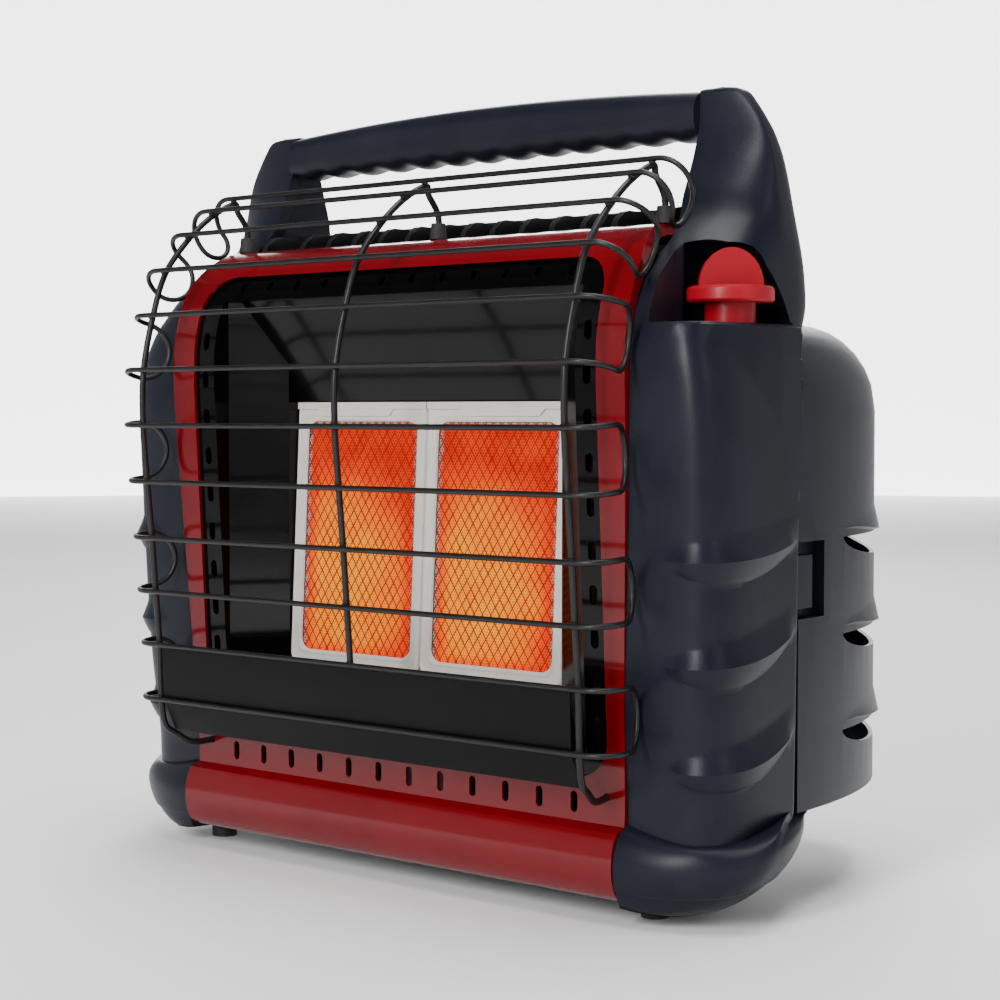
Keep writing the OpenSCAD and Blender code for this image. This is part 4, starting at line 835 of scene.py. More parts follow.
@dataclass
class Workshop:
    """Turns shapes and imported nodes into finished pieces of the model.

    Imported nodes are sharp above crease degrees, and an edge that has been rounded stays sharp above
    rounded_crease.
    """

    frame: Dict[str, Any]
    finishes: Finishes
    crease: float = 32.0
    rounded_crease: float = 40.0
    body_of: Dict[str, str] = field(default_factory=dict)
    slot_of: Dict[str, str] = field(default_factory=dict)

    def __post_init__(self) -> None:
        """Read which body and which finish slot each node has."""
        record = self.frame["record"]
        for body, nodes in record["behaviour"]["bodies"].items():
            self.body_of.update({node: body for node in nodes})
        self.slot_of = {row["node"]: row["material_slot"] for row in record["subparts"]}

    def mesh(self, name: str, shape: Shape, closed: bool = True) -> bpy.types.Object:
        """Object from a shape, in metres.

        Args:
            name: name of the object.
            shape: the shape in millimetres.
            closed: whether its faces can be turned outwards by its volume.

        Returns:
            The object, linked to the scene.
        """
        if closed:
            shape = shape.outward()
        data = bpy.data.meshes.new(name)
        data.from_pydata((shape.points * MM).tolist(), [], shape.faces)
        data.update()
        piece = bpy.data.objects.new(name, data)
        bpy.context.scene.collection.objects.link(piece)
        return piece

    def soften(self, piece: bpy.types.Object, angle: float, bevel: float = 0.0, flat: bool = False) -> None:
        """Shade a piece smooth up to an angle and round its sharper edges.

        Args:
            piece: the piece.
            angle: edges above this many degrees stay sharp.
            bevel: width of the rounding in millimetres, 0 for none.
            flat: whether the rounding is weighted to the flat faces.
        """
        work = bmesh.new()
        work.from_mesh(piece.data)
        bmesh.ops.remove_doubles(work, verts=work.verts, dist=MERGE)
        bmesh.ops.dissolve_degenerate(work, dist=MERGE, edges=work.edges)
        if bevel:
            limit = math.radians(angle)
            edges = [e for e in work.edges if len(e.link_faces) == 2 and e.calc_face_angle(0.0) > limit]
            bmesh.ops.bevel(work, geom=edges, offset=bevel * MM, segments=2, profile=0.6, affect="EDGES",
                            clamp_overlap=True)
        work.to_mesh(piece.data)
        work.free()
        piece.data.polygons.foreach_set("use_smooth", [True] * len(piece.data.polygons))
        sharp = max(angle, self.rounded_crease) if bevel else angle
        piece.data.set_sharp_from_angle(angle=math.radians(sharp))
        if flat:
            weighted = piece.modifiers.new("weighted", "WEIGHTED_NORMAL")
            weighted.keep_sharp = True
            weighted.weight = 60

    def carve(self, piece: bpy.types.Object, cutter: Shape) -> None:
        """Take a closed shape out of a piece.

        Args:
            piece: the piece.
            cutter: the shape in millimetres.
        """
        tool = self.mesh(piece.name + "_cut", cutter)
        step = piece.modifiers.new("cut", "BOOLEAN")
        step.operation, step.solver, step.object = "DIFFERENCE", "EXACT", tool
        bpy.context.view_layer.update()
        solid = piece.evaluated_get(bpy.context.evaluated_depsgraph_get())
        data = bpy.data.meshes.new_from_object(solid)
        piece.modifiers.clear()
        piece.data = data
        bpy.data.objects.remove(tool)

    def hand_in(self, piece: bpy.types.Object, finish: str, *nodes: str, body: str = "") -> None:
        """Dress a piece, put it on its body and let it stand for its nodes.

        Args:
            piece: the piece.
            finish: name of its finish.
            *nodes: nodes that it replaces; the first one gives its body.
            body: body of a piece that replaces none.
        """
        self.finishes.dress(piece, finish)
        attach(piece, body or self.body_of[nodes[0]])
        if nodes:
            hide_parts(*nodes)
        LOG.info("piece %s: %d faces, finish %s", piece.name, len(piece.data.polygons), finish)

    def refine(self, node: str, finish: str, bevel: float) -> None:
        """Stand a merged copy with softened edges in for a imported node.

        Args:
            node: the node's name.
            finish: name of its finish.
            bevel: width of the rounding in millimetres, 0 for none.
        """
        piece = self.frame["nodes"][node].copy()
        piece.data = piece.data.copy()
        piece.name = piece.data.name = node + "_finished"
        bpy.context.scene.collection.objects.link(piece)
        self.soften(piece, self.crease, bevel, flat=bevel > 0)
        self.hand_in(piece, finish, node)

    def keep(self, node: str, finish: str) -> None:
        """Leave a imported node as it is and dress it."""
        self.finishes.dress(self.frame["nodes"][node], finish)
        LOG.info("node %s kept, finish %s", node, finish)


# ---------------------------------------------------------------- sub-assemblies


@dataclass
class SidePanels:
    """Moulded side panels: one lofted skin with three scoops, a toe at the foot and a horn at the top.

    The horn leans in from horn_start over horn_blend, and its inner wall from wall_start over wall_blend.
    Gap is the room to the red panel. Foot_rows are (height, rows up to the next) below the scoops, and the
    pod is upright from pod_foot to the niche along pod_line, (depth, reach) from the front. Room_profile
    turns round the knob's axis as (radius, height above the niche's floor). The niche reaches niche_reach
    behind and before niche_y.
    """

    panel_half: float = 167.0
    gap: float = 0.4
    horn_start: float = 330.0
    horn_blend: float = 45.0
    wall_start: float = 343.0
    wall_blend: float = 12.0
    foot_rows: Tuple[Tuple[float, int], ...] = ((22, 5), (31, 6), (43, 4), (50, 1), (50.5, 6), (58, 6))
    door_z: float = 50.25
    pod_foot: float = 215.0
    pod_line: Tuple[Pair, ...] = (
        (-101, 193), (-96.9, 200.4), (-90, 206), (-79.1, 209.5), (-68, 211.8), (-59.4, 213.3), (-40, 214.9),
        (-20.5, 215))
    niche_y: float = -58.0
    niche_reach: Pair = (38.0, 44.0)
    niche_rise: float = 43.0
    niche_power: float = 1.25
    niche_out: float = 262.0
    niche_wall: Tuple[Pair, ...] = ((-130, 176), (-101, 176), (-86, 174.5), (-73, 173), (-10, 176))
    taper: float = 8.0
    reach: float = 215.0
    horn_half: float = 152.0
    horn_top: float = 430.0
    case_side: float = 157.3
    foot_front: float = 96.5
    seam: float = -20.5
    scoop_start: float = 0.24
    scoop_z: float = 186.0
    scoop_pitch: float = 52.7
    scoop_rise: float = 5.0
    sweep: Triple = (17.0, 16.2, 8.5)
    niche_z: float = 303.5
    knob: Pair = (190.0, -49.5)
    knob_room: float = 24.0
    room_profile: Tuple[Pair, ...] = (
        (0.01, 0), (24, 0), (24, 22), (22.4, 24.6), (20, 27), (18.6, 31), (16, 35.6), (12, 39.5), (6, 41.5),
        (0.01, 42))
    stem_radius: float = 14.5
    stem_reach: Pair = (-8.0, 3.0)
    latch_x: Pair = (207.0, 227.0)
    latch_z: Pair = (152.0, 192.0)
    latch_in: float = 2.5
    latch_depth: float = 6.0
    columns: int = 56
    rear_columns: int = 18

    def panel_edge(self, z: np.ndarray) -> np.ndarray:
        """Half width of the red panel: narrower towards the foot by a smooth and a straight share."""
        share = smooth((z - 60) / 230) * 0.45
        return self.panel_half - self.taper * (1 - share - np.clip((z - 60) / 205, 0, 1) * 0.55)

    def inner(self, z: np.ndarray) -> np.ndarray:
        """Inner edge of the skin: beside the red panel, then in to the horn by a smooth step.

        Args:
            z: heights.

        Returns:
            The edge, shaped as z.
        """
        low = self.panel_edge(z) + self.gap
        lean = smooth((z - self.horn_start) / self.horn_blend)
        high = self.panel_half + self.gap + (self.horn_half - self.panel_half - self.gap) * lean
        return np.where(z < self.horn_start, low, high)

    def outer(self, z: np.ndarray) -> np.ndarray:
        """Widest reach of the skin at each height, a rounded knot curve.

        Args:
            z: heights.

        Returns:
            The reach, shaped as z.
        """
        r, t = self.reach, self.horn_top
        return eased([
            (22, r - 8), (50, r), (250, r), (276, r - 2), (300, r - 7), (326, r - 11), (345, r - 13),
            (380, r - 18), (394, r - 20), (406, r - 24), (416, r - 30), (t - 3, r - 38), (t - 1, r - 42),
            (t, r - 52)], z, 4.0)

    def front(self, z: np.ndarray) -> np.ndarray:
        """Foremost line of the skin: it stays forward until just short of the top, then closes.

        Args:
            z: heights.

        Returns:
            The depth, shaped as z.
        """
        f, t = 2 - self.foot_front, self.horn_top
        return eased([
            (22, f), (60, f), (110, -99), (262, -104.8), (286, -104.5), (310, -100), (326, -92), (340, -76),
            (350, -58), (360, -45), (372, -37), (391, -28.5), (410, -22), (t - 1.5, -22), (t, -17)], z, 4.0)

    def rear(self, z: np.ndarray) -> np.ndarray:
        """Rearmost line of the skin at each height, with a step where the door begins.

        Args:
            z: heights.

        Returns:
            The depth, shaped as z.
        """
        foot = knots([(22, -30), (31, -4), (43, 14), (50, 25)], z)
        t = self.horn_top
        tall = eased([
            (50.5, self.seam), (250, self.seam), (262, -18), (276, -13.5), (285, -8.5), (292, -4), (300, 1.5),
            (306, 6.5), (309, 10), (318, 14), (330, 15), (345, 13), (380, 9), (400, 3), (414, -1),
            (t - 1.5, -2), (t, -7)], z, 4.0)
        return np.where(z < self.door_z, foot, tall)

    def widest(self, z: np.ndarray) -> np.ndarray:
        """Depth at which the skin is widest, a rounded knot curve kept in front of the rear line.

        Args:
            z: heights.

        Returns:
            The depth, shaped as z.
        """
        line = eased([
            (22, -60), (50, self.seam - 6), (276, self.seam - 1), (318, -16), (345, -14), (400, -18),
            (self.horn_top, -18)], z, 4.0)
        return np.minimum(self.rear(z) - 1, line)

    def squareness(self, z: np.ndarray) -> np.ndarray:
        """Power of the front corner: 2 is an ellipse, more is boxier.

        Args:
            z: heights.

        Returns:
            The power, shaped as z.
        """
        return eased([
            (0, 4.6), (60, 4.6), (162, 6.5), (242, 7), (290, 6.5), (300, 5.7), (315, 3.5), (335, 2.4),
            (345, 2), (440, 2)], z, 6.0)

    @staticmethod
    def corner(angle: np.ndarray, power: np.ndarray) -> Tuple[np.ndarray, np.ndarray]:
        """Quarter turn of a superellipse.

        Args:
            angle: angle from the first reach to the second.
            power: 2 for an ellipse, more for a boxier corner.

        Returns:
            Both reaches at that angle, as shares.
        """
        c, s = np.cos(angle), np.sin(angle)
        size = (abs(c) ** power + abs(s) ** power) ** (-1 / power)
        return c * size, s * size

    def scoop_lines(self, k: int, s: np.ndarray) -> Tuple[np.ndarray, np.ndarray, np.ndarray, np.ndarray]:
        """Lines of scoop k.

        The lip dips by a sine and sweeps up to the seam by a power; the hood above it and the chin below it
        open as powers of sines; the lip stands out by a sine that fades at both ends.

        Args:
            k: number of the scoop from the foot.
            s: share of the way round the front corner.

        Returns:
            Height of the lower line, of the lip and of the upper line, and how far the lip stands out.
        """
        u = np.clip((s - self.scoop_start) / (1 - self.scoop_start), 0, 1)
        lip = self.scoop_z - self.scoop_pitch * (2 - k) - 1.2 * np.sin(math.pi * u) + self.sweep[k] * u**2.7
        hood = 1.5 + 12.5 * abs(np.sin(np.radians(125 * u))) ** 0.6
        chin = 1.5 + 10 * abs(np.sin(math.pi * u**0.95)) ** 0.8
        out = (s > self.scoop_start) * self.scoop_rise * abs(np.sin(np.radians(20 + 145 * u))) ** 0.9
        return lip - chin, lip, lip + hood, out * smooth(u * 5) * smooth((1 - u) * 7 + 0.15)

    def rows(self, s: np.ndarray) -> Tuple[np.ndarray, np.ndarray]:
        """Heights and lip reach of all rows.

        Between two guide lines the rows are spread evenly. The lip's reach grows from the lower line and
        falls to the upper line by powers of the share between them.

        Args:
            s: share of the way round the front corner, one value a column.

        Returns:
            Height of each row at each column, and how far it stands out.
        """
        one = np.ones_like(s)
        guides = [(one * z, one * 0, count) for z, count in self.foot_rows]
        for k in range(len(self.sweep)):
            low, lip, high, out = self.scoop_lines(k, np.minimum(s, 1))
            guides += [(low, one * 0, 9), (lip, out, 11), (high, one * 0, 10)]
        guides.append((one * 214, one * 0, 62))
        guides.append((one * (self.horn_top - 14), one * 0, 12))
        guides.append((one * self.horn_top, one * 0, 0))
        heights, reaches = [], []
        for (z0, r0, count), (z1, r1, _) in zip(guides, guides[1:]):
            for share in np.arange(count) / count:
                heights.append(z0 + (z1 - z0) * share)
                bulge = share**0.8 if r1.max() > r0.max() else (1 - share) ** 1.25
                reaches.append(np.maximum(r0, r1) * (bulge if max(r0.max(), r1.max()) > 0 else 0))
        heights.append(guides[-1][0])
        reaches.append(one * 0)
        return np.array(heights), np.array(reaches)

    def surface(self, pod: bool) -> np.ndarray:
        """Outer surface of the right-hand panel, column by column round the corner from front to seam.

        Round the front corner the plan is a superellipse from the foremost line to the widest one, and
        behind it a rounded quarter back to the seam. A lip stands out along the superellipse's own normal.
        On the side with the knob the part below the niche is upright: there the plan never lies inside the
        pod's own line.

        Args:
            pod: whether the panel has the knob's pod.

        Returns:
            Points, one row a height.
        """
        front = np.linspace(0, 1, self.columns + 1)
        front = front - 0.03 * np.sin(2 * math.pi * front)
        s = np.concatenate([front, 1 + np.linspace(0, 1, self.rear_columns + 1)[1:]])
        z, out = self.rows(s)
        front_part = s <= 1
        xi, xo, yf, yr = self.inner(z), self.outer(z), self.front(z), self.rear(z)
        ym = np.minimum(self.widest(z), yr - 1)
        power = self.squareness(z)
        angle = np.radians(90 * (1 - np.minimum(s, 1))) * np.ones_like(z)
        cx, cy = self.corner(angle, power)
        nx, ny = abs(cx) ** (power - 1) * (ym - yf), -abs(cy) ** (power - 1) * (xo - xi)
        size = np.hypot(nx, ny)
        turn = np.radians(90 * np.maximum(s - 1, 0)) * np.ones_like(z)
        back_power = 0.95 - 0.35 * smooth((z - 250) / 60)
        x = np.where(front_part, xi + (xo - xi) * cx + out * nx / size,
                     xi + (xo - xi) * np.cos(turn).clip(0) ** back_power + out * np.clip(2 - s, 0, 1))
        y = np.where(front_part, ym + (yf - ym) * cy + out * ny / size,
                     ym + (yr - ym) * np.sin(turn).clip(0) ** back_power)
        if pod:
            first = self.pod_line[0][0]
            below = (z <= self.niche_z + 0.6) & (z > self.pod_foot)
            beside = (y < self.seam + 0.5) & (y > first)
            x = np.where(below & beside, np.maximum(x, knots(self.pod_line, y)), x)
        return np.stack([x, y, z], 2)

    def skin(self, pod: bool) -> Shape:
        """Skin of the right-hand panel: its surface, and a flat inner side that closes it.

        Args:
            pod: whether the panel has the knob's pod.

        Returns:
            The closed skin.
        """
        grid = self.surface(pod)
        z, last = grid[:, 0, 2], grid[:, self.columns, 2]
        share = smooth((z - self.wall_start) / self.wall_blend)
        lean = self.case_side + (self.horn_half - self.case_side) * share
        base = np.where(z > self.wall_start, np.minimum(self.inner(z), lean), self.case_side)
        rebate = np.minimum(self.front(z) + 9, (self.front(z) + self.rear(z)) / 2)
        edge = np.maximum(self.inner(z) - 0.05, base + 0.3)
        lead = np.stack([np.stack([base, rebate, z], 1), np.stack([edge, rebate, z], 1)], 1)
        tail = np.stack([base, grid[:, -1, 1], last], 1)[:, None]
        return Shape.loft(np.concatenate([lead, grid, tail], 1))

    def toe(self) -> Shape:
        """Rounded toe at the foot.

        The plan runs from an upper to a middle to a lower oval: from the crease out to the ridge as a
        quarter of a circle, and from the ridge in to the sole as a squashed quarter with a narrow step.

        Returns:
            The closed toe of the right-hand panel.
        """
        t = np.linspace(0, 2, 72)[None]
        w = np.concatenate([np.linspace(2, 1.44, 14), [1.425, 1.41], np.linspace(1.39, 1, 12),
                            np.linspace(0.96, 0, 18)])[:, None]
        x0 = self.panel_edge(np.array(0.0)) + 1
        chin = -self.foot_front - 11

        def oval(xo: float, yf: float, ym: float, yr: float, power: float) -> np.ndarray:
            """Plan of one oval: a superellipse in front and an ellipse behind."""
            cx, cy = self.corner(np.radians(90 * abs(1 - t)), np.where(t <= 1, power, 2.0))
            return np.stack([x0 + (xo - x0) * cx, ym + (np.where(t <= 1, yf, yr) - ym) * cy], 2)

        top = oval(self.reach - 1, self.front(np.array(50.0)) + 1, self.seam - 6, 23, 4.6)
        mid = oval(self.reach + 13, chin, -62, 16, 2)
        low = oval(self.reach - 23, chin + 6, -72, -50, 2.1)
        crease = np.where(t > 1, 50, 50 - 7 * np.sin(math.pi * t) + 4.5 * t * t)
        behind = np.sin(math.pi / 2 * np.clip((t - 1) * 2, 0, 1))
        ridge = np.where(t <= 1, 29 + 11 * t**2.2, 40 + 6 * behind)
        sole = 6.5 + 2.5 * (1 - np.minimum(t, 1)) ** 3
        f = math.pi / 2 * np.where(w <= 1, w, w - 1)
        q = np.where(w <= 1, np.sin(f), abs(np.cos(f)) ** 1.2)
        h = np.where(w <= 1, 1 - np.cos(f), abs(np.sin(f)) ** 1.2)
        away = mid - np.array([x0 - 20, -70.0])
        stepped = ((w > 1.42) & (w < 1.95))[..., None]
        step = stepped * 1.2 * away / np.linalg.norm(away, axis=2, keepdims=True)
        upper, lower = top + (mid - top) * q[..., None], low + (mid - low) * q[..., None] - step
        plan = np.where((w <= 1)[..., None], upper, lower)
        z = np.where(w <= 1, crease + (ridge - crease) * h, ridge + (sole - ridge) * h)
        grid = np.concatenate([plan, z[..., None]], 2)
        lid_plan = top[0] + (np.array([x0, -40.0]) - top[0]) * 0.2
        lid = np.concatenate([lid_plan, np.full((lid_plan.shape[0], 1), 43.5)], 1)[None]
        grid = np.concatenate([grid, lid])
        first, last = grid[:, :1] * 1.0, grid[:, -1:] * 1.0
        first[..., 0] = last[..., 0] = x0 - 0.6
        return Shape.loft(np.concatenate([first, grid, last], 1))

    def niche(self) -> Shape:
        """Cutter of the knob's niche.

        Seen from the side it is a lopsided arch: depth and height are powers 1.25 of a cosine and a sine.
        Inwards it ends at a wall that is hollowed round the knob's axis.

        Returns:
            The closed cutter.
        """
        share = np.linspace(0.02, 0.98, 97)
        c = np.cos(math.pi * share)
        y = self.niche_y + np.sign(c) * abs(c) ** self.niche_power * np.where(c > 0, *self.niche_reach)
        top = self.niche_z + self.niche_rise * np.sin(math.pi * share) ** self.niche_power
        wall = knots(self.niche_wall, y)
        kx, ky = self.knob
        room = kx - np.sqrt(np.clip(self.knob_room**2 - (y - ky) ** 2, 0, None))
        wall = np.where(abs(y - ky) < self.knob_room, np.minimum(wall, room), wall)
        up = np.linspace(0, 1, 14)[None]
        z = self.niche_z + (top[:, None] - self.niche_z) * up
        one = np.ones_like(z)
        near = np.stack([wall[:, None] * one, y[:, None] * one, z], 2)
        far = near.copy()
        far[..., 0] = self.niche_out
        return Shape.slab(near, far)

    def build(self, shop: Workshop) -> None:
        """Make both panels.

        Args:
            shop: the workshop.
        """
        floor = (*self.knob, self.niche_z)
        foot, head = self.stem_reach
        stem = [(0.01, foot), (self.stem_radius, foot), (self.stem_radius, head), (0.01, head)]
        for side, sign in (("right", 1), ("left", -1)):
            name = "side_panel_" + side
            skin = self.skin(pod=sign > 0)
            piece = shop.mesh(name + "_skin", skin if sign > 0 else skin.mirrored())
            if sign > 0:
                shop.carve(piece, self.niche())
                shop.carve(piece, lathe(self.room_profile, floor))
                shop.carve(piece, lathe(stem, floor))
            latch = Shape.slab(*self.latch_sheets())
            shop.carve(piece, latch if sign > 0 else latch.mirrored())
            shop.soften(piece, 34.0)
            toe = shop.mesh(name + "_toe", self.toe() if sign > 0 else self.toe().mirrored())
            shop.soften(toe, 60.0)
            shop.hand_in(piece, "charcoal_plastic", name)
            shop.hand_in(toe, "charcoal_plastic", name)

    def latch_sheets(self) -> Tuple[np.ndarray, np.ndarray]:
        """Front and rear sheet of the notch for the door's latch.

        Returns:
            Both sheets of points.
        """
        x, z = np.meshgrid(np.linspace(*self.latch_x, 3), np.linspace(*self.latch_z, 3))
        near = np.stack([x, np.full_like(x, self.seam - self.latch_in), z], 2)
        return near, near + (0, self.latch_depth, 0)


@dataclass
class Handle:
    """Arched carry handle with finger bumps underneath. Span is the clear room between the horns."""

    half: float = 151.7
    span: float = 304.0
    top: float = 434.67
    arch: float = 6.0
    height: float = 32.0
    depth: float = 27.0
    front: float = 14.0
    bumps: int = 13
    swell: float = 1.8
    power: float = 0.8
    parting: Pair = (0.02, 0.03)

    def build(self, shop: Workshop) -> None:
        """Make the grip.

        The section is a rounded box, powers 0.8 of a cosine and a sine. The top falls by a parabola to both
        ends and the underside swells and thins with a cosine along the grip. A shallow parting line runs
        round it.

        Args:
            shop: the workshop.
        """
        x = np.linspace(-self.half, self.half, 300)[:, None]
        a = np.linspace(0, 2 * math.pi, 56, endpoint=False)[None]
        c, s = np.cos(a), np.sin(a)
        top = self.top - self.arch * (x / (self.span / 2)) ** 2
        low = self.top - self.height
        mid = (top + low) / 2
        swell = self.swell * (0.5 + 0.5 * np.cos(2 * math.pi * self.bumps * (x / self.span + 0.5)))
        deep, wide = self.parting
        groove = 1 - deep * np.exp(-((s / wide) ** 2))
        y = -self.front + self.depth / 2 * np.sign(c) * abs(c) ** self.power * groove
        z = mid + ((top - low) / 2 + np.where(s < 0, swell * s, 0)) * np.sign(s) * abs(s) ** self.power
        grid = np.stack(np.broadcast_arrays(x, y, z), 2)
        piece = shop.mesh("handle_grip_finished", Shape.loft(grid))
        shop.soften(piece, 40.0)
        shop.hand_in(piece, "handle_plastic", "handle_grip")


@dataclass
class Guard:
    """Wire guard: six closed loops welded to three uprights.

    Wires are (depth in front of the middle, height) of each crossing wire from the top, two to a loop. A
    loop runs straight to half, then bends back by sweep degrees at radius bend, and goes straight again for
    tail. Hook and foot are the ends of an upright, the foot's x counted inwards. A nugget is a weld's half
    sizes.
    """

    wires: Tuple[Pair, ...] = (
        (70.5, 388.1), (88.7, 379.4), (108.2, 364), (127.2, 342), (137.4, 315.4), (144.9, 283.6),
        (145.6, 251.4), (142.7, 218.6), (139.4, 185.6), (136.8, 154.1), (134.1, 122.7), (133, 90.4))
    hook: Tuple[Triple, ...] = ((0, -58.5, 352.0), (0, -58.5, 369.0))
    foot: Tuple[Triple, ...] = ((0.5, -127, 75), (2, -120, 69), (5, -110, 63), (8, -95.5, 63))
    nugget: Triple = (2.2, 1.5, 2.0)
    radius: float = 1.5
    upright_radius: float = 1.8
    half: float = 160.0
    bend: float = 16.0
    sweep: float = 115.0
    tail: float = 11.0
    upright: float = 155.5
    gap: float = 0.1
    sides: int = 14

    def wire(self, i: int) -> np.ndarray:
        """Middle of wire i."""
        depth, height = self.wires[i]
        return np.array([0.0, -depth, height])

    def loop(self, i: int) -> np.ndarray:
        """Path of loop i.

        It runs along its upper wire, bends back at the end along the guard's own normal by a part of a
        circle, turns half round to the lower wire and comes back.

        Args:
            i: number of the loop from the top.

        Returns:
            Points along its middle.
        """
        a, b = self.wire(2 * i), self.wire(2 * i + 1)
        h = np.linalg.norm(a - b) / 2
        e = (b - a) / np.linalg.norm(b - a)
        inward = np.array([0, -e[2], e[1]])
        full = math.radians(self.sweep)
        reach = self.half + self.bend * full + self.tail
        turn = np.radians(np.arange(7.5, 180, 7.5))
        straight = np.concatenate([[0, self.half - 2], np.linspace(self.half - 2, reach - h, 14)[1:]])
        s = np.concatenate([straight, reach - h + h * np.sin(turn), straight[::-1]])
        t = np.concatenate([straight * 0, (1 - np.cos(turn)) / 2, straight * 0 + 1])
        s = np.concatenate([s, -s[::-1][1:-1]])
        t = np.concatenate([t, t[::-1][1:-1]])
        over = np.maximum(0, abs(s) - self.half)
        arc = np.minimum(full, over / self.bend)
        rest = np.maximum(0, over - self.bend * full)
        x = np.minimum(abs(s), self.half) + self.bend * np.sin(arc) + rest * math.cos(full)
        depth = self.bend * (1 - np.cos(arc)) + rest * math.sin(full)
        return (a + (b - a) * t[:, None]) + (np.sign(s) * x)[:, None] * (1, 0, 0) + depth[:, None] * inward

    def inside(self, i: int, d: float) -> np.ndarray:
        """Point at a distance behind a wire, square to the guard.

        Args:
            i: number of the wire from the top.
            d: the distance.

        Returns:
            The point.
        """
        a, b = self.wire(max(i - 1, 0)), self.wire(min(i + 1, len(self.wires) - 1))
        e = (b - a) / np.linalg.norm(b - a)
        return self.wire(i) + d * np.array([0, -e[2], e[1]])

    @staticmethod
    def rounded(points: Sequence[np.ndarray], count: int = 90) -> np.ndarray:
        """Smooth path through points: a Catmull-Rom curve, cubic between each two.

        Args:
            points: the points.
            count: number of points of the path.

        Returns:
            The path.
        """
        p = np.array(points)
        p = np.concatenate([[2 * p[0] - p[1]], p, [2 * p[-1] - p[-2]]])
        u = np.linspace(0, len(p) - 3 - 1e-6, count)
        k = u.astype(int)
        f = (u - k)[:, None]
        a, b, c, d = p[k], p[k + 1], p[k + 2], p[k + 3]
        square, cube = 2 * a - 5 * b + 4 * c - d, 3 * b - a - 3 * c + d
        return 0.5 * (2 * b + (c - a) * f + square * f**2 + cube * f**3)

    def build(self, shop: Workshop) -> None:
        """Make loops, uprights and weld nuggets.

        Args:
            shop: the workshop.
        """
        count = len(self.wires)
        paths = [self.loop(i) for i in range(count // 2)]
        loops = joined([tube(path, self.radius, self.sides, (0, 1, 0.1), closed=True) for path in paths])
        piece = shop.mesh("guard_loops_round", loops)
        shop.soften(piece, 60.0)
        shop.hand_in(piece, "guard_wire", "guard_loops")
        d = self.radius + self.upright_radius + self.gap
        head = [np.array(place) for place in self.hook] + [self.inside(0, d) + (0, 2.5, -5)]
        lines = []
        for side in (-1, 1):
            foot = [np.array([-side * x, y, z]) for x, y, z in self.foot]
            line = self.rounded(head + [self.inside(i, d) for i in range(count)] + foot)
            lines.append(line + (side * self.upright, 0, 0))
        # the middle upright ends on the last wire but one, in a straight stub
        lines.append(self.rounded(head + [self.inside(i, d) for i in range(count - 2)]))
        stub = (self.inside(count - 3, d) + (0, 0, 0.4), self.inside(count - 2, d) - (0, 0, 0.9))
        lines.append(np.linspace(*stub, 6))
        uprights = joined([tube(line, self.upright_radius, self.sides, (1, 0, 0)) for line in lines])
        piece = shop.mesh("guard_uprights_round", uprights)
        shop.soften(piece, 60.0)
        shop.hand_in(piece, "guard_wire", "guard_uprights")
        self.welds(shop)

    def welds(self, shop: Workshop) -> None:
        """Make a flattened nugget at each crossing: an ellipsoid of eight by six faces.

        Args:
            shop: the workshop.
        """
        lat = np.linspace(0.12, math.pi - 0.12, 7)
        lon = np.linspace(0, 2 * math.pi, 8, endpoint=False)
        unit = np.stack([np.outer(np.sin(lat), np.cos(lon)), np.outer(np.sin(lat), np.sin(lon)),
                         np.outer(np.cos(lat), np.ones(8))], 2)
        last = len(self.wires) - 1
        # the middle upright doesn't reach the last wire
        crossings = [(i, side) for i in range(last + 1) for side in (-1, 0, 1) if (i, side) != (last, 0)]
        centres = [self.inside(i, self.radius + 0.3) + (side * self.upright, 0, 0) for i, side in crossings]
        shape = joined([Shape.loft(centre + unit[::-1] * self.nugget) for centre in centres])
        piece = shop.mesh("guard_welds", shape)
        shop.soften(piece, 70.0)
        shop.hand_in(piece, "guard_wire", body="chassis")


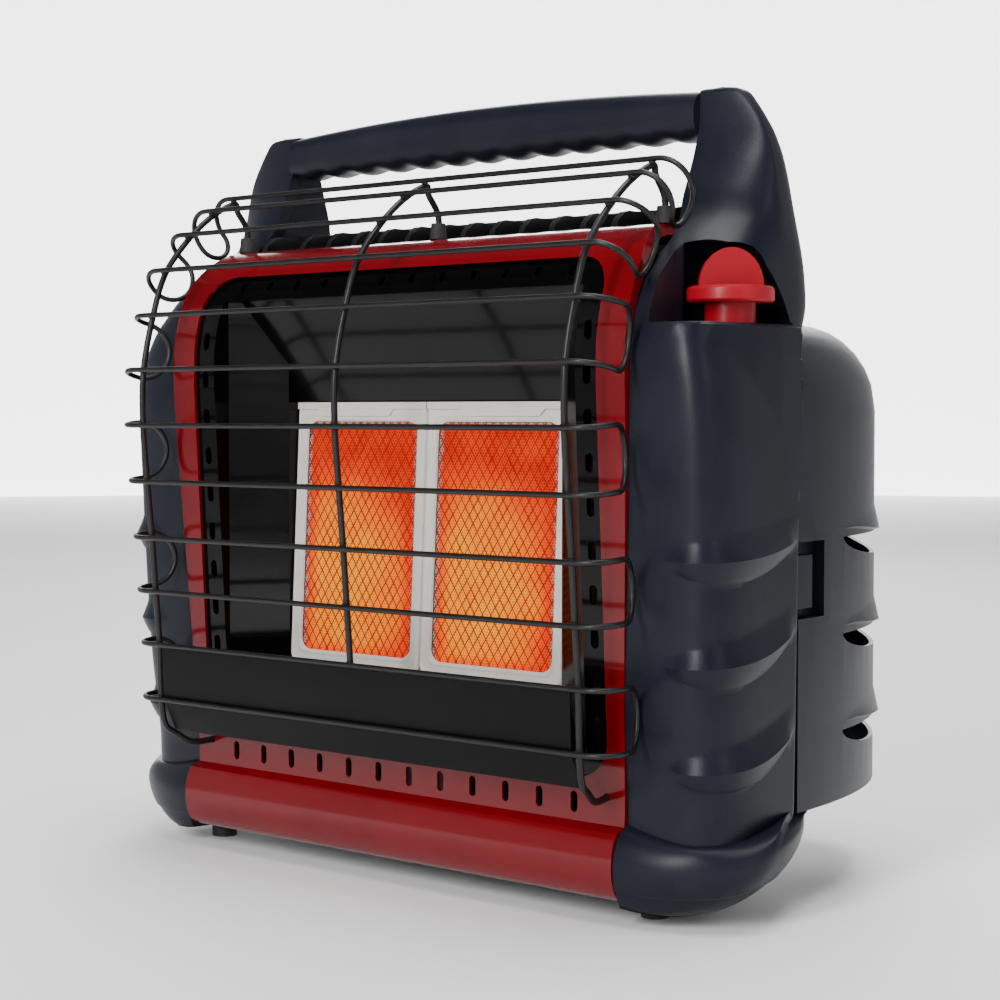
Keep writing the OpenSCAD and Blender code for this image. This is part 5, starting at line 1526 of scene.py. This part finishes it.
@dataclass
class Burner:
    """Diamond lattices of wire over the two tiles, and the pressed frames round them.

    A rim and an opening are given as x from and to, z from and to, and the radius of the corners. The
    lattice's wires cross at weave before and behind their mean depth, end at inset from the tile's edge,
    and one whose reach would be under shortest is left out.
    """

    front: float = 76.0
    foot: float = 112.0
    tilt: float = 3.1
    tile_in: float = 5.0
    tile_w: float = 92.0
    tile_h: float = 140.0
    border: float = 5.0
    wire_y: float = 1.85
    wire_r: float = 0.3
    pitch: Pair = (6.0, 9.0)
    weave: float = 0.14
    inset: float = 0.6
    shortest: float = 0.8
    rim: Tuple[Pair, Pair, float] = ((0.3, 102.0), (0.0, 153.0), 5.0)
    opening: Tuple[Pair, Pair, float] = ((8.0, 94.0), (8.0, 142.0), 7.0)
    frame_back: float = 1.38
    ledge_front: float = -0.95
    ledge_depth: float = 2.2
    ledge_top: float = 152.9
    ledge_line: Tuple[Pair, ...] = ((0.4, 149), (25, 149), (29, 145), (81, 145), (85, 149), (101.9, 149))

    def placed(self, points: np.ndarray) -> np.ndarray:
        """Points of the upright burner, tilted back and moved to its place.

        Args:
            points: the points.

        Returns:
            The same points in the part's frame.
        """
        a = math.radians(self.tilt)
        x, y, z = points[..., 0], points[..., 1], points[..., 2]
        return np.stack([x, y * math.cos(a) + z * math.sin(a) - self.front,
                         -y * math.sin(a) + z * math.cos(a) + self.foot], -1)

    def lattice(self) -> Shape:
        """Two slanting families of straight wires, cut to the tile's rectangle.

        A wire holds the points where x over one pitch plus or minus z over the other is a whole number.

        Returns:
            The wires over the right tile.
        """
        px, pz = self.pitch
        w, h = self.tile_w, self.tile_h
        wires = []
        for sign, depth in ((1, self.wire_y - self.weave), (-1, self.wire_y + self.weave)):
            top = w / px + h / pz
            for n in np.arange(math.ceil(-top), top):
                # x of the wire at the foot and the top of the rectangle, the smaller first
                ends = sorted(((n - sign * z / pz) * px, z) for z in (self.inset, h - self.inset))
                (xa, za), (xb, zb) = ends
                if xb <= self.shortest or xa >= w - self.shortest:
                    continue
                slope = (zb - za) / (xb - xa)
                if xa < self.inset:
                    xa, za = self.inset, zb - slope * (xb - self.inset)
                if xb > w - self.inset:
                    zb, xb = za + slope * (w - self.inset - xa), w - self.inset
                path = np.linspace((xa + self.tile_in, depth, za + self.border),
                                   (xb + self.tile_in, depth, zb + self.border), 4)
                wires.append(tube(path, self.wire_r, 5, (0, 1, 0)))
        return joined(wires)

    @staticmethod
    def rounded_box(x: Pair, z: Pair, r: float, count: int = 9) -> np.ndarray:
        """Outline of an upright rectangle with round corners.

        Args:
            x: left and right side.
            z: foot and top.
            r: radius of the corners.
            count: points on each corner.

        Returns:
            Points as (x, z), the same number on every outline.
        """
        a = np.radians(np.arange(4)[:, None] * 90 + np.linspace(0, 90, count)[None])
        cx = np.array([x[1] - r, x[0] + r, x[0] + r, x[1] - r])[:, None]
        cz = np.array([z[1] - r, z[1] - r, z[0] + r, z[0] + r])[:, None]
        return np.stack([cx + r * np.cos(a), cz + r * np.sin(a)], 2).reshape(-1, 2)

    def pressing(self) -> Shape:
        """Pressed frame round the right tile.

        The sheet is ruled between an outer and an inner rounded rectangle. Across it a rolled rim and a
        lower bead stand forward, each as a bell of the share of the way in, and both edges fall back by a
        smooth step.

        Returns:
            The closed sheet.
        """
        outer = self.rounded_box(*self.rim)
        inner = self.rounded_box(*self.opening)
        v = np.linspace(0, 1, 41)
        face = 0.35 - 0.85 * np.exp(-(((v - 0.14) / 0.07) ** 2)) - 0.5 * np.exp(-(((v - 0.80) / 0.08) ** 2))
        face = face + 0.9 * smooth((v - 0.9) / 0.1) + 0.8 * (1 - smooth(v / 0.05))
        share = np.concatenate([v, [1.0, 0.5, 0.0]])
        depth = np.concatenate([face, [self.frame_back] * 3])
        flat = outer[:, None] + (inner - outer)[:, None] * share[None, :, None]
        return Shape.ring(np.stack([flat[..., 0], depth + 0 * flat[..., 0], flat[..., 1]], 2))

    def ledge(self) -> Shape:
        """Ledge along the top of the right frame: its lower edge steps down over the middle.

        Returns:
            The closed ledge.
        """
        x, low = np.array(self.ledge_line, float).T
        y, top = np.full_like(x, self.ledge_front), np.full_like(x, self.ledge_top)
        near = np.stack([np.stack([x, y, low], 1), np.stack([x, y, top], 1)])
        return Shape.slab(near, near + (0, self.ledge_depth, 0))

    def build(self, shop: Workshop) -> None:
        """Make the lattice and the pressed frames, and dress the tiles.

        Args:
            shop: the workshop.
        """
        right = self.lattice()
        both = right + right.mirrored()
        piece = shop.mesh("tile_screens_wire", Shape(self.placed(both.points), both.faces))
        shop.soften(piece, 80.0)
        shop.hand_in(piece, "hot_mesh", "tile_screens")
        for node in ("tile_right", "tile_left"):
            shop.keep(node, "tile_glow")
        sheet = self.pressing() + self.ledge()
        sheet = sheet + sheet.mirrored()
        piece = shop.mesh("burner_frames_pressed", Shape(self.placed(sheet.points), sheet.faces))
        shop.soften(piece, 40.0)
        shop.hand_in(piece, "burner_frame", "burner_frames")


@dataclass
class KnobSpring:
    """Coil spring under the knob, built at its full height; the knob presses it together as it goes in."""

    place: Pair = (190.0, -49.5)
    low: float = 290.7
    high: float = 312.2
    coil: float = 8.0
    wire: float = 0.9
    turns: int = 4
    seat: float = 289.5
    travel: float = 5.0

    def build(self, shop: Workshop) -> None:
        """Make the coil.

        It is a circle whose height grows evenly with the angle.

        Args:
            shop: the workshop.
        """
        x, y = self.place
        a = np.linspace(0, 2 * math.pi * self.turns, 48 * self.turns + 1)
        path = np.stack([x + self.coil * np.cos(a), y + self.coil * np.sin(a),
                         np.linspace(self.low, self.high, len(a))], 1)
        piece = shop.mesh("knob_spring_coil", tube(path, self.wire, 10, (0, 0, 1)))
        shop.soften(piece, 60.0)
        shop.hand_in(piece, "spring_steel", "knob_spring")
        anchor = (x / METRE, y / METRE, self.seat / METRE)
        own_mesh(piece)


@dataclass
class Dressing:
    """All nodes whose shape is right: their finish and how far their edges are rounded, in millimetres."""

    refined: Dict[str, Tuple[str, float]] = field(default_factory=lambda: {
        "front_panel": ("red_enamel", 0.55), "reflector_pan": ("black_enamel", 0.45),
        "vent_deck": ("vent_enamel", 0.35), "guard_plate": ("guard_sheet", 0.3),
        "guard_boots": ("black_rubber", 0.3), "handle_rod": ("zinc_steel", 0.2),
        "control_knob": ("red_plastic", 0.8), "knob_stem": ("zinc_steel", 0.0),
        "valve_spindle": ("zinc_steel", 0.0), "door_right": ("charcoal_plastic", 0.5),
        "door_left": ("charcoal_plastic", 0.5), "door_hinge_right": ("charcoal_plastic", 0.3),
        "door_hinge_left": ("charcoal_plastic", 0.3), "latch_right": ("charcoal_plastic", 0.6),
        "latch_left": ("charcoal_plastic", 0.6), "feet": ("black_rubber", 0.6),
        "case_shell": ("black_steel", 0.5), "base_pan": ("black_steel", 0.4),
        "top_cover": ("black_steel", 0.4), "rear_grille": ("guard_wire", 0.3),
        "fan_rotor": ("black_plastic", 0.2), "fan_frame": ("black_plastic", 0.4),
        "fan_motor": ("zinc_steel", 0.4), "battery_box": ("black_plastic", 0.4),
        "battery_door": ("charcoal_plastic", 0.5), "battery_contacts": ("spring_steel", 0.0),
        "switch_housing": ("black_plastic", 0.4), "fan_rocker": ("black_plastic", 0.3),
        "regulator_right": ("cast_aluminium", 0.5), "regulator_left": ("cast_aluminium", 0.5),
        "swivel_posts": ("brass", 0.3), "hinge_lugs": ("black_steel", 0.2),
        "hinge_pins": ("zinc_steel", 0.2), "case_screws": ("zinc_steel", 0.2),
        "pilot_bracket": ("aluminised_steel", 0.2), "pilot_burner": ("brass", 0.2),
        "spark_electrode": ("white_ceramic", 0.0), "thermocouple": ("brass", 0.0),
    })
    kept: Dict[str, str] = field(default_factory=lambda: {
        "burner_plenum": "aluminised_steel", "mixer_tubes": "aluminised_steel", "orifices": "brass",
        "gas_manifold": "brass", "heat_shield": "aluminised_steel", "gas_valve": "cast_aluminium",
        "piezo_igniter": "white_ceramic", "tip_switch": "black_plastic",
    })

    def build(self, shop: Workshop) -> None:
        """Refine or dress each node.

        Args:
            shop: the workshop.
        """
        for node, (finish, bevel) in self.refined.items():
            shop.refine(node, finish, bevel)
        for node, finish in self.kept.items():
            shop.keep(node, finish)


@dataclass
class Studio:
    """Pale floor, paper wall, soft boxes and camera, in metres and degrees.

    A lamp is its name, place, aim, size and power. Facing is how far the camera looks towards -X and +Y, as
    shares. The wall's glow fades in over glow_edge, the share of its radius that lies that way.
    """

    lamps: Tuple[Tuple[str, Triple, Triple, Pair, float], ...] = (
        ("key", (0.30, -2.1, 1.15), (0.0, 0.0, 0.2), (0.38, 1.3), 52.0),
        ("side", (2.1, -0.3, 1.1), (0.15, 0.0, 0.2), (0.35, 1.3), 5.0),
        ("top", (0.2, 0.1, 2.1), (0.0, 0.0, 0.2), (1.8, 1.2), 46.0),
        ("rear", (-1.2, 1.8, 1.6), (0.0, 0.0, 0.2), (1.2, 1.2), 22.0))
    wall_radius: float = 5.4
    wall_foot: float = -0.02
    wall_top: float = 3.4
    floor_half: float = 6.0
    facing: Pair = (0.640, 0.768)
    glow_edge: Pair = (0.90, 0.95)
    glow: float = 3.4
    sky: float = 0.07
    sensor: float = 36.0
    lens: float = 74.66
    place: Triple = (0.777, -0.9369, 0.2587)
    down: float = 2.41
    turn: float = 39.8

    def softbox(self, name: str, place: Triple, aim: Triple, size: Pair, power: float) -> None:
        """Rectangular soft light.

        Args:
            name: its name.
            place: where it stands.
            aim: the point that it faces.
            size: its width and height.
            power: its power in watts.
        """
        lamp = bpy.data.lights.new(name, "AREA")
        lamp.shape, lamp.size, lamp.size_y, lamp.energy = "RECTANGLE", size[0], size[1], power
        obj = bpy.data.objects.new(name, lamp)
        obj.location = place
        obj.rotation_euler = (Vector(aim) - Vector(place)).to_track_quat("-Z", "Y").to_euler()
        bpy.context.scene.collection.objects.link(obj)

    def backdrop(self, shop: Workshop) -> None:
        """Make a paper wall round the room, an upright cylinder that glows brightly only behind the heater.

        Args:
            shop: the workshop.
        """
        sides, rows, r = 96, 9, self.wall_radius
        turn, up = np.meshgrid(np.linspace(2 * math.pi, 0, sides, endpoint=False),
                               np.linspace(self.wall_foot, self.wall_top, rows))
        wall = np.stack([r * np.cos(turn), r * np.sin(turn), up], 2).reshape(-1, 3) * METRE
        paper = shop.mesh("backdrop", Shape(wall, strips(rows, sides).tolist()), closed=False)
        net = Net("backdrop_paper")
        x, y, _ = net.axes()
        tone = net.mix(net.noise(2.0, 2.0, 0.5), (0.96, 0.96, 0.96), (1.0, 1.0, 1.0))
        across, ahead = self.facing
        behind = ((y * ahead - x * across) / r).ease(*self.glow_edge)
        glow = net.mix(behind, (0.012, 0.012, 0.012), (1.0, 1.0, 1.0))
        paper.data.materials.append(net.finish(Base_Color=tone, Roughness=0.8, Emission_Color=glow,
                                               Emission_Strength=self.glow))

    def build(self, shop: Workshop) -> None:
        """Set up the room.

        Args:
            shop: the workshop.
        """
        count = 25
        side = np.linspace(-self.floor_half, self.floor_half, count)
        x, y = np.meshgrid(side, side)
        self.backdrop(shop)
        ground = np.stack([x, y, 0 * x], 2).reshape(-1, 3) * METRE
        boards = strips(count, count, round_cols=False).tolist()
        floor = shop.mesh("floor", Shape(ground, boards), closed=False)
        net = Net("floor_paper")
        tone = net.mix(net.noise(3.0, 2.0, 0.5), (0.93, 0.93, 0.93), (0.96, 0.96, 0.96))
        floor.data.materials.append(net.finish(Base_Color=tone, Roughness=0.7))
        world = bpy.data.worlds.new("room")
        world.use_nodes = True
        back = world.node_tree.nodes["Background"]
        back.inputs["Color"].default_value = (1.0, 1.0, 1.0, 1.0)
        back.inputs["Strength"].default_value = self.sky
        bpy.context.scene.world = world
        for lamp in self.lamps:
            self.softbox(*lamp)
        eye = bpy.data.cameras.new("eye")
        eye.lens, eye.sensor_width = self.lens, self.sensor
        camera = bpy.data.objects.new("eye", eye)
        camera.location = self.place
        camera.rotation_euler = (math.radians(90 - self.down), 0.0, math.radians(self.turn))
        bpy.context.scene.collection.objects.link(camera)
        bpy.context.scene.camera = camera


def main() -> None:
    """Build the heater's looks, one sub-assembly after another."""
    logging.basicConfig(level=logging.INFO, format="%(name)s: %(message)s")
    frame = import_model()
    finishes = Finishes()
    finishes.build(GlowTile("tile_glow", half=0.097, inner=0.005, low=0.112, high=0.2565))
    shop = Workshop(frame, finishes)
    for part in (Studio(), SidePanels(), Handle(), Guard(), Burner(), KnobSpring(), Dressing()):
        part.build(shop)
        LOG.info("built %s", type(part).__name__)


if __name__ == "__main__":
    main()
